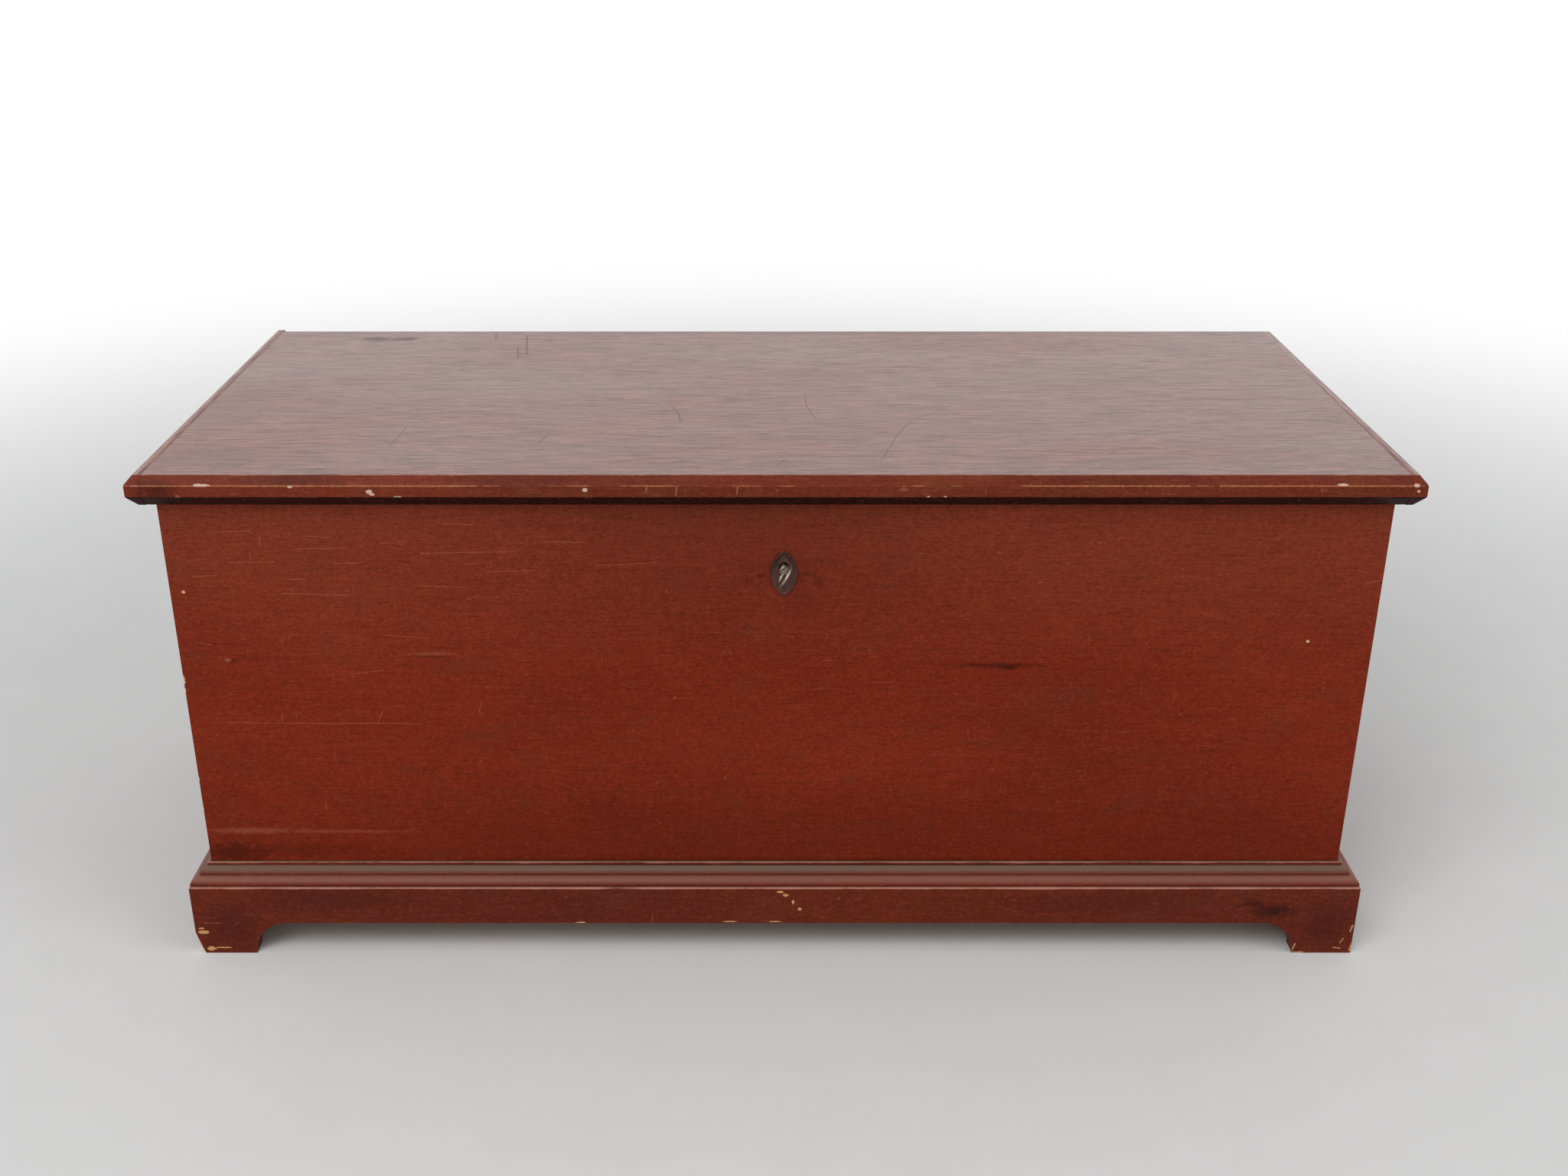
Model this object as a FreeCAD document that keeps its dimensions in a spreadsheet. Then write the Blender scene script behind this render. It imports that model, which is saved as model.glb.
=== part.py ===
"""Painted pine blanket chest with a hinged lid, a half-mortise lock and its key.

Millimetres. +X is the chest's right-hand side seen from the front, +Y its back and +Z up. The origin
lies on the floor in the middle of the footprint that the base boards enclose.
"""
import FreeCAD
import Part
import Sketcher
import math
import os
import re

V = FreeCAD.Vector
doc = FreeCAD.newDocument("blanket_chest")

# ---------------------------------------------------------------- driving dimensions
SIZES = {
    # case
    "case_length": 1220, "case_depth": 510, "wall_height": 460, "wall": 22,
    "bottom": 16, "floor_gap": 44.5, "bottom_gap": 1, "bottom_boards": 3,
    "lap": 5, "tail_count": 5, "tail_tip": 54, "tail_root": 42, "joint_gap": 0.1,
    # base boards and their moulded top edge
    "base": 21, "base_height": 93.2, "foot": 64, "foot_slope": 2, "toe_radius": 37, "toe_rise": 2,
    "bead_height": 7.2, "bead_inset": 8.4, "quirk": 1.6, "quirk_depth": 1.4, "quirk_back": 2.4, "lip": 3.6,
    "bracket_top": 110, "block": 40, "block_lift": 2,
    # cove strip above the base boards
    "cove_out": 7.3, "cove_height": 8.2, "fillet_out": 3.3, "fillet_height": 3.8,
    # lid
    "lid_overhang": 21.5, "lid_back_overhang": 8.5, "lid_face": 12,
    "top_chamfer": 8.5, "under_chamfer": 12, "end_chamfer": 7.5,
    "cleat": 16, "cleat_proud": 7, "tongue": 8, "tongue_thickness": 10, "tongue_gap": 0.3, "tongue_inset": 30,
    # butt hinges
    "hinge_inset": 220, "hinge_length": 76, "leaf": 2.2, "leaf_width": 19, "leaf_gap": 0.25, "knuckle": 4.5,
    "knuckle_count": 5, "knuckle_gap": 0.3, "pin": 2.2, "pin_gap": 0.05, "pin_head": 1.2, "hinge_back_gap": 0.5,
    # lock
    "key_x": 8.5, "key_drop": 69, "lock_width": 96, "lock_height": 94, "lock_case": 15, "plate": 2,
    "cap_wall": 1.2, "cap_width": 84, "cap_height": 86, "selvage": 2, "selvage_length": 110,
    "mortise_gap": 0.4, "seat_gap": 0.1, "bolt": 4, "bar_height": 12, "bar_drop": 14, "bolt_leg": 16,
    "nose_reach": 12, "bar_tail": 3, "bolt_throw": 9.5, "talon": 4.2, "talon_gap": 0.4,
    "stud": 2, "stud_head": 3.4, "stud_head_height": 1.5, "slide_gap": 0.3, "stud_inset": 11, "stud_pitch": 19,
    "staple": 5, "staple_wall": 1.8, "staple_foot": 3, "staple_gap": 0.4, "slot_gap": 1.5, "nose_gap": 1,
    "strike": 0.8, "strike_length": 64, "strike_width": 13, "spring": 0.8, "spring_inset": 14, "spring_span": 30,
    "spring_width": 5,
    # key
    "key_turn": 64, "shank": 3.5, "shank_bore": 1.55, "drill_pin": 1.5, "bit_reach": 10.8, "bit": 2,
    "bit_width": 6, "bit_back_gap": 2, "bore_depth": 9, "keyhole": 4.4, "keyhole_slot": 3, "slot_reach": 11.6,
    "bow_reach": 40.2, "bow_outer": 14, "bow_bar": 3.9, "bow_thickness": 3.4, "bow_round": 1.3,
    # escutcheon
    "plate_half_height": 24.3, "plate_half_width": 14.1, "plate_drop": 7.4, "scutcheon": 1.2, "rim": 1.6,
    "rim_height": 0.9, "pin_spread": 18.8,
    # fasteners: radius, length and head of each kind, and the fit of its hole
    "hole_gap": 0.05, "hole_deep": 0.5,
    "brad": 1.25, "brad_length": 34, "fine_brad": 0.8, "fine_brad_length": 20,
    "nail": 1.5, "nail_length": 42, "nail_head": 3.6, "nail_head_height": 1.5,
    "screw": 1.8, "screw_length": 16, "screw_head": 3.4,
    "small_screw": 1.3, "small_screw_length": 10, "small_screw_head": 2.4,
    "scutcheon_pin": 0.7, "scutcheon_pin_length": 5, "scutcheon_pin_head": 1.4, "scutcheon_pin_dome": 0.8,
    # fastener rows: how many, and how far from the end of what they hold
    "wall_nails": 6, "wall_nail_inset": 120, "end_nails": 4, "end_nail_inset": 110,
    "base_nails": 6, "base_side_nails": 3, "base_nail_inset": 60, "base_nail_rise": 15,
    "cove_brads": 7, "cove_side_brads": 4, "cove_brad_inset": 40, "cleat_nails": 4, "cleat_nail_inset": 70,
    "leaf_screws": 3, "leaf_screw_inset": 12, "lock_screw_inset": 3, "lock_screw_drop": 22,
    "lock_screw_rise": 12, "selvage_screw_inset": 3.2, "strike_screw_inset": 7,
    # how far a cutter stands past the face it cuts
    "over": 1,
}

# places that several pieces share, worked out from the driving dimensions
DERIVED = {
    "front": "(base - case_depth) / 2", "rear": "(base + case_depth) / 2", "side": "case_length / 2",
    "inner_front": "front + wall", "inner_rear": "rear - wall",
    "wall_foot": "floor_gap + bottom", "rim_z": "wall_foot + wall_height",
    "lid_front": "front - lid_overhang", "lid_rear": "rear + lid_back_overhang",
    "face_foot": "rim_z + under_chamfer", "face_top": "face_foot + lid_face", "lid_top": "face_top + top_chamfer",
    "lid_end": "side + lid_overhang", "board_end": "lid_end - cleat", "hinge_x": "side - hinge_inset",
    "tongue_low": "(rim_z + lid_top - tongue_thickness) / 2", "tongue_high": "tongue_low + tongue_thickness",
    "pin_y": "rear + hinge_back_gap + knuckle",
    "key_z": "rim_z - key_drop", "lock_front": "inner_front - lock_case", "plate_front": "inner_front - plate",
    "lock_top": "rim_z - strike - slide_gap", "selvage_low": "lock_top - selvage",
    "cap_inner": "lock_front + cap_wall", "works_y": "(cap_inner + plate_front) / 2",
    "mouth": "bolt_throw / 2 / tan(key_turn / 2 * 1 deg)", "bar_top": "rim_z - bar_drop",
    "bar_foot": "bar_top - bar_height", "leg_middle": "key_x + bolt_throw / 2",
    "nose": "leg_middle - bolt_leg / 2 - nose_reach", "slot_length": "2 * stud + 2 * slide_gap + bolt_throw",
    "bar_end": "nose + stud_inset + stud_pitch + slot_length + bar_tail",
    "shank_tip": "plate_front - bit_back_gap", "bow_middle": "front - bow_reach + bow_outer",
    "staple_face": "nose - nose_gap", "staple_low": "bar_foot - staple_gap - staple_foot",
    "staple_half": "bolt / 2 + staple_gap + staple_wall",
    "ogee_foot": "base_height - bead_height", "plate_z": "key_z - plate_drop",
    "toe_height": "toe_radius + toe_rise",
}

sheet = doc.addObject("Spreadsheet::Sheet", "Sizes")
for row, (alias, value) in enumerate(SIZES.items(), start=1):
    sheet.set(f"A{row}", alias)
    sheet.set(f"B{row}", str(value))
    sheet.setAlias(f"B{row}", alias)
doc.recompute()


# ---------------------------------------------------------------- helpers
def formula(text):
    """Turns plain names into an expression on the sheet's cells."""
    def swap(match):
        word = match.group(0)
        if word in DERIVED:
            return "(" + formula(DERIVED[word]) + ")"
        return "Sizes." + word if word in SIZES else word
    return re.sub(r"[a-z_]+", swap, str(text))


def number(text):
    return float(sheet.evalExpression(formula(text)))


def count(name):
    return int(number(name))


def body(label):
    return doc.addObject("PartDesign::Body", label)


def sketch(owner, role, start="0"):
    """Sketch on one of the body's origin planes, moved along that plane's axis to start."""
    plane = next(f for f in owner.Origin.OriginFeatures if f.Role == role)
    made = owner.newObject("Sketcher::SketchObject", owner.Name + "_sketch")
    made.AttachmentSupport = (plane, [""])
    made.MapMode = "FlatFace"
    sign = "-" if role == "XZ_Plane" else ""
    made.setExpression("AttachmentOffset.Base.z", f"{sign}({formula(start)})")
    return made


def pin_point(made, geometry, which, x, y):
    """Holds one point of the sketch at a bound distance from the origin."""
    for kind, text, axis in (("DistanceX", x, -2), ("DistanceY", y, -1)):
        if text == "0":
            made.addConstraint(Sketcher.Constraint("PointOnObject", geometry, which, axis))
            continue
        rule = Sketcher.Constraint(kind, -1, 1, geometry, which, number(text))
        made.setExpression(f"Constraints[{made.addConstraint(rule)}]", formula(text))


def loop(made, corners):
    """Closed outline through corners. A corner is (x, y) or (x, y, radius) where the side that leaves
    it is an arc: a positive radius bulges to the right of the way round, a negative one to the left."""
    first = made.GeometryCount
    total = len(corners)
    points = [V(number(c[0]), number(c[1]), 0) for c in corners]
    for i, corner in enumerate(corners):
        here, there = points[i], points[(i + 1) % total]
        if len(corner) == 2:
            made.addGeometry(Part.LineSegment(here, there))
            continue
        radius = number(corner[2])
        chord = there - here
        across = V(chord.y, -chord.x, 0).normalize() * math.copysign(1, radius)
        rise = abs(radius) - math.sqrt(radius ** 2 - chord.Length ** 2 / 4)
        made.addGeometry(Part.Arc(here, (here + there) / 2 + across * rise, there))
    ends = []
    for i, corner in enumerate(corners):
        turned = len(corner) == 3 and number(corner[2]) < 0
        ends.append((2, 1) if turned else (1, 2))
    for i in range(total):
        after = (i + 1) % total
        made.addConstraint(Sketcher.Constraint("Coincident", first + i, ends[i][1],
                                               first + after, ends[after][0]))
    for i, corner in enumerate(corners):
        pin_point(made, first + i, ends[i][0], corner[0], corner[1])
        if len(corner) == 3:
            rule = Sketcher.Constraint("Radius", first + i, abs(number(corner[2])))
            index = made.addConstraint(rule)
            made.setExpression(f"Constraints[{index}]", f"abs({formula(corner[2])})")


def ring(made, x, y, radius):
    made.addGeometry(Part.Circle(V(number(x), number(y), 0), V(0, 0, 1), number(radius)))
    index = made.GeometryCount - 1
    pin_point(made, index, 3, x, y)
    rule = made.addConstraint(Sketcher.Constraint("Radius", index, number(radius)))
    made.setExpression(f"Constraints[{rule}]", formula(radius))


def grow(owner, made, length):
    """Pads the sketch towards the positive axis."""
    feature = owner.newObject("PartDesign::Pad", owner.Name + "_pad")
    feature.Profile = made
    feature.setExpression("Length", formula(length))
    feature.Reversed = made.AttachmentSupport[0][0].Role == "XZ_Plane"
    made.Visibility = False
    doc.recompute()
    return feature


def dig(owner, made, length):
    """Pockets the sketch towards the positive axis and checks that it took material away."""
    before = owner.Shape.Volume
    feature = owner.newObject("PartDesign::Pocket", owner.Name + "_pocket")
    feature.Profile = made
    feature.setExpression("Length", formula(length))
    feature.Reversed = made.AttachmentSupport[0][0].Role != "XZ_Plane"
    made.Visibility = False
    doc.recompute()
    if owner.Shape.Volume >= before:
        raise RuntimeError(f"{feature.Name} takes nothing away")
    return feature


def box_corners(across, up):
    return [(across[0], up[0]), (across[1], up[0]), (across[1], up[1]), (across[0], up[1])]


def slab(owner, x, y, z, cut=False):
    """Rectangular block between two places on each axis, added to the body or cut from it."""
    made = sketch(owner, "XY_Plane", z[0])
    loop(made, box_corners(x, y))
    return (dig if cut else grow)(owner, made, f"({z[1]}) - ({z[0]})")


def mirror(owner, feature, role="YZ_Plane"):
    made = owner.newObject("PartDesign::Mirrored", owner.Name + "_mirror")
    made.Originals = [feature]
    made.MirrorPlane = (next(f for f in owner.Origin.OriginFeatures if f.Role == role), [""])
    owner.Tip = made
    doc.recompute()
    return made


def ease(owner, radius, wanted):
    """Fillets the edges of the body that wanted() picks."""
    base = owner.Tip
    names = [f"Edge{i}" for i, edge in enumerate(base.Shape.Edges, start=1) if wanted(edge)]
    feature = owner.newObject("PartDesign::Fillet", owner.Name + "_fillet")
    feature.Base = (base, names)
    feature.setExpression("Radius", formula(radius))
    doc.recompute()
    return feature


def move(thing, x="0", y="0", z="0"):
    for axis, text in zip("xyz", (x, y, z)):
        thing.setExpression(f"Placement.Base.{axis}", formula(text))


def turn(thing, axis, angle):
    thing.Placement.Rotation = FreeCAD.Rotation(axis, 10)
    thing.setExpression("Placement.Rotation.Angle", formula(angle))


nodes = {}


def keep(label, thing):
    """Names the finished piece after its node."""
    thing.Label = label
    nodes[label] = thing
    return thing


# ---------------------------------------------------------------- fasteners
def turned(outline):
    """Solid of revolution about Z from (radius, height) points that start and end on the axis."""
    points = [V(radius, 0, height) for radius, height in outline]
    return Part.Face(Part.makePolygon(points + points[:1])).revolve(V(), V(0, 0, 1), 360)


def brad_shape(kind, gap, deep):
    """Headless wire brad: its top at the origin, its point below."""
    radius, length = number(kind) + gap, number(kind + "_length") + deep
    return turned([(0, 0), (radius, 0), (radius, 2 * radius - length), (0, -length)])


def nail_shape(kind, gap, deep):
    """Nail whose head lies on the wood, so its hole is for the shank alone."""
    radius, length = number(kind) + gap, number(kind + "_length") + deep
    shank = [(radius, 0), (radius, 2 * radius - length), (0, -length)]
    if gap:
        return turned([(0, 0)] + shank)
    head, height = number(kind + "_head"), number(kind + "_head_height")
    return turned([(0, height), (head * 0.7, height), (head, 0)] + shank)


def screw_shape(kind, gap, deep):
    """Countersunk wood screw, its head flush."""
    radius, length, head = number(kind) + gap, number(kind + "_length") + deep, number(kind + "_head") + gap
    return turned([(0, 0), (head, 0), (radius, radius - head), (radius, 3 * radius - length), (0, -length)])


def dome_shape(kind, gap, deep):
    """Small pin with a domed head that lies on the plate."""
    radius, length = number(kind) + gap, number(kind + "_length") + deep
    shank = [(radius, 0), (radius, 2 * radius - length), (0, -length)]
    if gap:
        return turned([(0, 0)] + shank)
    head, dome = number(kind + "_head"), number(kind + "_dome")
    return turned([(0, dome), (head * 0.6, dome * 0.85), (head, dome * 0.25), (head, 0)] + shank)


SHAPES = {"brad": brad_shape, "fine_brad": brad_shape, "nail": nail_shape, "screw": screw_shape,
          "small_screw": screw_shape, "scutcheon_pin": dome_shape}


def scatter(label, kind, spots, gap=0.0, deep=0.0):
    """Part::Feature that holds one fastener, or its hole, at each (place, driving direction)."""
    master = SHAPES[kind](kind, gap, deep)
    copies = []
    for place, heading in spots:
        copy = master.copy()
        copy.Placement = FreeCAD.Placement(place, FreeCAD.Rotation(V(0, 0, -1), heading))
        copies.append(copy)
    thing = doc.addObject("Part::Feature", label)
    thing.Shape = Part.makeCompound(copies)
    return thing


def fasteners(label, kind, spots):
    """The node of one kind of fastener, and the tool that cuts its holes."""
    keep(label, scatter(label, kind, spots))
    return scatter(label + "_holes", kind, spots, number("hole_gap"), number("hole_deep"))


def drilled(label, base, *tools):
    """The finished piece: base with the holes of its fasteners cut out of it."""
    for tool in tools:
        cut = doc.addObject("Part::Cut", label + "_drilled")
        cut.Base, cut.Tool = base, tool
        base = cut
    return keep(label, base)


def at(x, y, z):
    return V(number(x), number(y), number(z))


LEFT, RIGHT, IN, OUT, DOWN, UP = V(-1, 0, 0), V(1, 0, 0), V(0, 1, 0), V(0, -1, 0), V(0, 0, -1), V(0, 0, 1)


def spread(low, high, total):
    """Total places from low to high as expressions."""
    return [f"({low}) + (({high}) - ({low})) * {i / (total - 1)}" for i in range(total)]


# ---------------------------------------------------------------- case
def tail_places():
    tails = count("tail_count")
    return [f"wall_foot + wall_height * {(i + 0.5) / tails}" for i in range(tails)]


def end_board(name, start):
    """End board with lapped dovetails towards the front and the back board."""
    tip_front, tip_rear = "front + lap + joint_gap", "rear - lap - joint_gap"
    corners = [("inner_front", "wall_foot"), ("inner_rear", "wall_foot")]
    for z in tail_places():
        corners += [("inner_rear", f"{z} - tail_root / 2"), (tip_rear, f"{z} - tail_tip / 2"),
                    (tip_rear, f"{z} + tail_tip / 2"), ("inner_rear", f"{z} + tail_root / 2")]
    corners += [("inner_rear", "rim_z"), ("inner_front", "rim_z")]
    for z in reversed(tail_places()):
        corners += [("inner_front", f"{z} + tail_root / 2"), (tip_front, f"{z} + tail_tip / 2"),
                    (tip_front, f"{z} - tail_tip / 2"), ("inner_front", f"{z} - tail_root / 2")]
    piece = body(name)
    made = sketch(piece, "YZ_Plane", start)
    loop(made, corners)
    grow(piece, made, "wall")
    return piece


def long_board(name, face, inner, lap_place):
    """Front or back board with the sockets of the end boards' tails."""
    piece = body(name)
    slab(piece, ("-side", "side"), (face, inner), ("wall_foot", "rim_z"))
    made = sketch(piece, "YZ_Plane", "-side")
    for z in tail_places():
        loop(made, [(inner, f"{z} - tail_root / 2 - joint_gap"), (inner, f"{z} + tail_root / 2 + joint_gap"),
                    (lap_place, f"{z} + tail_tip / 2 + joint_gap"),
                    (lap_place, f"{z} - tail_tip / 2 - joint_gap")])
    mirror(piece, dig(piece, made, "wall"))
    return piece


front_board = long_board("front_blank", "front", "inner_front", "front + lap")
slab(front_board, ("key_x - cap_width / 2 - mortise_gap", "key_x + cap_width / 2 + mortise_gap"),
     ("lock_front", "inner_front"), ("rim_z - cap_height - mortise_gap", "rim_z"), cut=True)
slab(front_board, ("key_x - lock_width / 2", "key_x + lock_width / 2"), ("plate_front", "inner_front"),
     ("rim_z - lock_height", "rim_z"), cut=True)
slab(front_board, ("key_x - selvage_length / 2", "key_x + selvage_length / 2"), ("lock_front", "inner_front"),
     ("selvage_low", "rim_z"), cut=True)

back_board = long_board("back_blank", "rear", "inner_rear", "rear - lap")
seat = slab(back_board, ("hinge_x - hinge_length / 2", "hinge_x + hinge_length / 2"),
            ("rear - leaf_width", "rear"), ("rim_z - leaf - leaf_gap", "rim_z"), cut=True)
mirror(back_board, seat)

left_end = end_board("left_end_blank", "-side")
right_end = end_board("right_end_blank", "side - wall")


def bottom_board(index):
    """One of the boards that run the length of the chest under its walls."""
    boards = count("bottom_boards")
    width = f"((case_depth - bottom_gap * {boards - 1}) / {boards})"
    low = f"front + ({width} + bottom_gap) * {index}"
    piece = body(f"bottom_blank_{index}")
    slab(piece, ("-side", "side"), (low, f"{low} + {width}"), ("floor_gap", "wall_foot"))
    return piece


bottoms = [bottom_board(i) for i in range(count("bottom_boards"))]


# ---------------------------------------------------------------- base
def place_side(piece, where):
    """Stands a piece made against the plane y = 0 along the front, left or right of the case."""
    if where == "front":
        move(piece, y="front")
    else:
        turn(piece, V(0, 0, 1), "-90" if where == "left" else "90")
        move(piece, x="-side" if where == "left" else "side")


def run_ends(where, out):
    """Where a strip that stands out from the case starts and ends, and which ends are mitred."""
    if where == "front":
        return f"-side - {out}", f"side + {out}", True, True
    if where == "left":
        return "-rear", f"{out} - front", False, True
    return f"front - {out}", "rear", True, False


def mitre(piece, where, out, height):
    """Cuts 45 degrees off the strip's mitred ends, through its height."""
    low, high, cut_low, cut_high = run_ends(where, out)
    for wanted, end, inward in ((cut_low, low, "+"), (cut_high, high, "-")):
        if wanted:
            made = sketch(piece, "XY_Plane", "0")
            corners = [(end, f"-({out})"), (f"{end} {inward} ({out})", "0"), (end, "0")]
            loop(made, corners if inward == "+" else corners[::-1])
            dig(piece, made, height)


def base_board(where):
    """Base board with its bracket feet, toe opening, quirked bead and mitres."""
    low, high, _, _ = run_ends(where, "base")
    piece = body(f"base_{where}_blank")
    made = sketch(piece, "XZ_Plane", "-base")
    loop(made, [(low, "0"), (f"{low} + foot", "0"), (f"{low} + foot + foot_slope", "toe_height"),
                (f"{high} - foot - foot_slope", "toe_height"), (f"{high} - foot", "0"), (high, "0"),
                (high, "base_height"), (low, "base_height")])
    grow(piece, made, "base")
    toe = number("toe_height")
    ease(piece, "toe_radius", lambda edge: all(abs(v.Z - toe) < 1e-4 for v in edge.Vertexes)
         and abs(edge.Vertexes[0].X - edge.Vertexes[-1].X) < 1e-4)
    made = sketch(piece, "YZ_Plane", low)
    loop(made, [("-base", "ogee_foot - lip"), ("-base + quirk_depth / 2", "ogee_foot - quirk"),
                ("-base + quirk_back", "ogee_foot - quirk"), ("-base + quirk_back", "ogee_foot"),
                ("-base + quirk_depth", "ogee_foot", "-bead_height"),
                ("-base + bead_inset", "base_height"), ("-base + bead_inset", "base_height + over"),
                ("-base - over", "base_height + over"), ("-base - over", "ogee_foot - lip")])
    dig(piece, made, f"({high}) - ({low})")
    mitre(piece, where, "base", "base_height")
    place_side(piece, where)
    return piece


def cove_strip(where):
    """Cove strip that covers the joint between the case and the base boards."""
    out, foot = "cove_out + fillet_out", "base_height"
    low, high, _, _ = run_ends(where, f"({out})")
    piece = body(f"cove_{where}_blank")
    made = sketch(piece, "YZ_Plane", low)
    loop(made, [(f"-({out})", foot, "-cove_height"), ("-fillet_out", f"{foot} + cove_height"),
                ("-fillet_out", f"{foot} + cove_height + fillet_height"),
                ("0", f"{foot} + cove_height + fillet_height"), ("0", foot)])
    grow(piece, made, f"({high}) - ({low})")
    mitre(piece, where, f"({out})", f"{foot} + cove_height + fillet_height")
    place_side(piece, where)
    return piece


SIDES = ("front", "left", "right")
base_boards = {where: base_board(where) for where in SIDES}
coves = {where: cove_strip(where) for where in SIDES}


def rear_bracket(name, sign):
    """Plain bracket that closes the back of a rear foot, under the bottom boards."""
    piece = body(name)
    made = sketch(piece, "XZ_Plane", "rear - base")
    corners = [("side", "0"), ("side", "floor_gap"), ("side - bracket_top", "floor_gap"), ("side - foot", "0")]
    if sign < 0:
        corners = [(f"-({x})", z) for x, z in reversed(corners)]
    loop(made, corners)
    grow(piece, made, "base")
    return keep(name, piece)


rear_bracket("rear_bracket_left", -1)
rear_bracket("rear_bracket_right", 1)
for x_name, x in (("left", ("-side", "-side + block")), ("right", ("side - block", "side"))):
    for y_name, y in (("front", ("front", "front + block")), ("rear", ("rear - base - block", "rear - base"))):
        glue_block = body(f"foot_block_{y_name}_{x_name}")
        slab(glue_block, x, y, ("block_lift", "floor_gap"))
        keep(f"foot_block_{y_name}_{x_name}", glue_block)


# ---------------------------------------------------------------- lid
lid_board = body("lid_blank")
section = sketch(lid_board, "YZ_Plane", "-board_end")
loop(section, [("lid_front + under_chamfer", "rim_z"), ("lid_rear", "rim_z"), ("lid_rear", "lid_top"),
               ("lid_front + top_chamfer", "lid_top"), ("lid_front", "face_top"), ("lid_front", "face_foot")])
grow(lid_board, section, "2 * board_end")
TONGUE_Y = ("lid_front + tongue_inset", "lid_rear - tongue_inset")
mirror(lid_board, slab(lid_board, ("board_end", "board_end + tongue"), TONGUE_Y, ("tongue_low", "tongue_high")))
HINGE_X = ("hinge_x - hinge_length / 2", "hinge_x + hinge_length / 2")
mirror(lid_board, slab(lid_board, HINGE_X, ("rear - leaf_width", "lid_rear"),
                       ("rim_z", "rim_z + leaf_gap + leaf"), cut=True))
HEAD_X = [f"{HINGE_X[0]} - pin_head - knuckle_gap", f"{HINGE_X[1]} + pin_head + knuckle_gap"]
mirror(lid_board, slab(lid_board, HEAD_X, ("rear + hinge_back_gap / 2", "lid_rear"),
                       ("rim_z", "rim_z + knuckle + hinge_back_gap"), cut=True))


def cleat(name, sign, proud):
    """Grooved cleat across the lid's end, with the lid's chamfers carried round it."""
    piece = body(name)
    made = sketch(piece, "XZ_Plane", "lid_front")
    corners = [("board_end", "rim_z"), ("lid_end - end_chamfer", "rim_z"), ("lid_end", "face_foot"),
               ("lid_end", "face_top"), ("lid_end - end_chamfer", "lid_top"), ("board_end", "lid_top")]
    if sign < 0:
        corners = [(f"-({x})", z) for x, z in reversed(corners)]
    loop(made, corners)
    grow(piece, made, f"lid_rear + {proud} - lid_front")
    made = sketch(piece, "YZ_Plane", "board_end" if sign > 0 else "-lid_end")
    loop(made, [("lid_front - over", "lid_top + over"), ("lid_front - over", "face_top - over"),
                ("lid_front + top_chamfer + over", "lid_top + over")])
    loop(made, [("lid_front - over", "rim_z - over"), ("lid_front + under_chamfer + over", "rim_z - over"),
                ("lid_front - over", "face_foot + over")])
    dig(piece, made, "cleat")
    groove = ("board_end", "board_end + tongue + tongue_gap")
    if sign < 0:
        groove = (f"-({groove[1]})", f"-({groove[0]})")
    slab(piece, groove, (f"{TONGUE_Y[0]} - tongue_gap", f"{TONGUE_Y[1]} + tongue_gap"),
         ("tongue_low", "tongue_high"), cut=True)
    return piece


left_cleat = cleat("left_cleat_blank", -1, "cleat_proud")
right_cleat = cleat("right_cleat_blank", 1, "0")


# ---------------------------------------------------------------- hinges
def hinge_leaf(name, sign, first_knuckle, middle):
    """Leaf with its knuckles about an axis along X. Sign -1 hangs it below the axis, on the case."""
    piece = body(name)
    low, high = ("-leaf_gap - leaf", "-leaf_gap") if sign < 0 else ("leaf_gap", "leaf_gap + leaf")
    slab(piece, ("-hinge_length / 2", "hinge_length / 2"),
         ("-hinge_back_gap - knuckle - leaf_width", "-knuckle - knuckle_gap"), (low, high))
    step = "hinge_length / knuckle_count"
    for i in range(first_knuckle, count("knuckle_count"), 2):
        start = f"-hinge_length / 2 + {step} * {i} + knuckle_gap / 2"
        slab(piece, (start, f"{start} + {step} - knuckle_gap"), ("-knuckle - knuckle_gap", "0"), (low, high))
        made = sketch(piece, "YZ_Plane", start)
        ring(made, "0", "0", "knuckle")
        grow(piece, made, f"{step} - knuckle_gap")
    made = sketch(piece, "YZ_Plane", "-hinge_length / 2")
    ring(made, "0", "0", "pin + pin_gap")
    dig(piece, made, "hinge_length")
    move(piece, middle, "pin_y", "rim_z")
    return piece


def hinge_pin(name, middle):
    piece = body(name)
    for radius, start, length in (("pin", "-hinge_length / 2", "hinge_length"),
                                  ("pin + pin_head", "-hinge_length / 2 - pin_head", "pin_head"),
                                  ("pin + pin_head", "hinge_length / 2", "pin_head")):
        made = sketch(piece, "YZ_Plane", start)
        ring(made, "0", "0", radius)
        grow(piece, made, length)
    move(piece, middle, "pin_y", "rim_z")
    return keep(name, piece)


HINGES = {"left": "-hinge_x", "right": "hinge_x"}
case_leaves = {side: hinge_leaf(f"case_leaf_{side}_blank", -1, 0, x) for side, x in HINGES.items()}
lid_leaves = {side: hinge_leaf(f"lid_leaf_{side}_blank", 1, 1, x) for side, x in HINGES.items()}
for side, x in HINGES.items():
    hinge_pin(f"hinge_pin_{side}", x)


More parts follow.
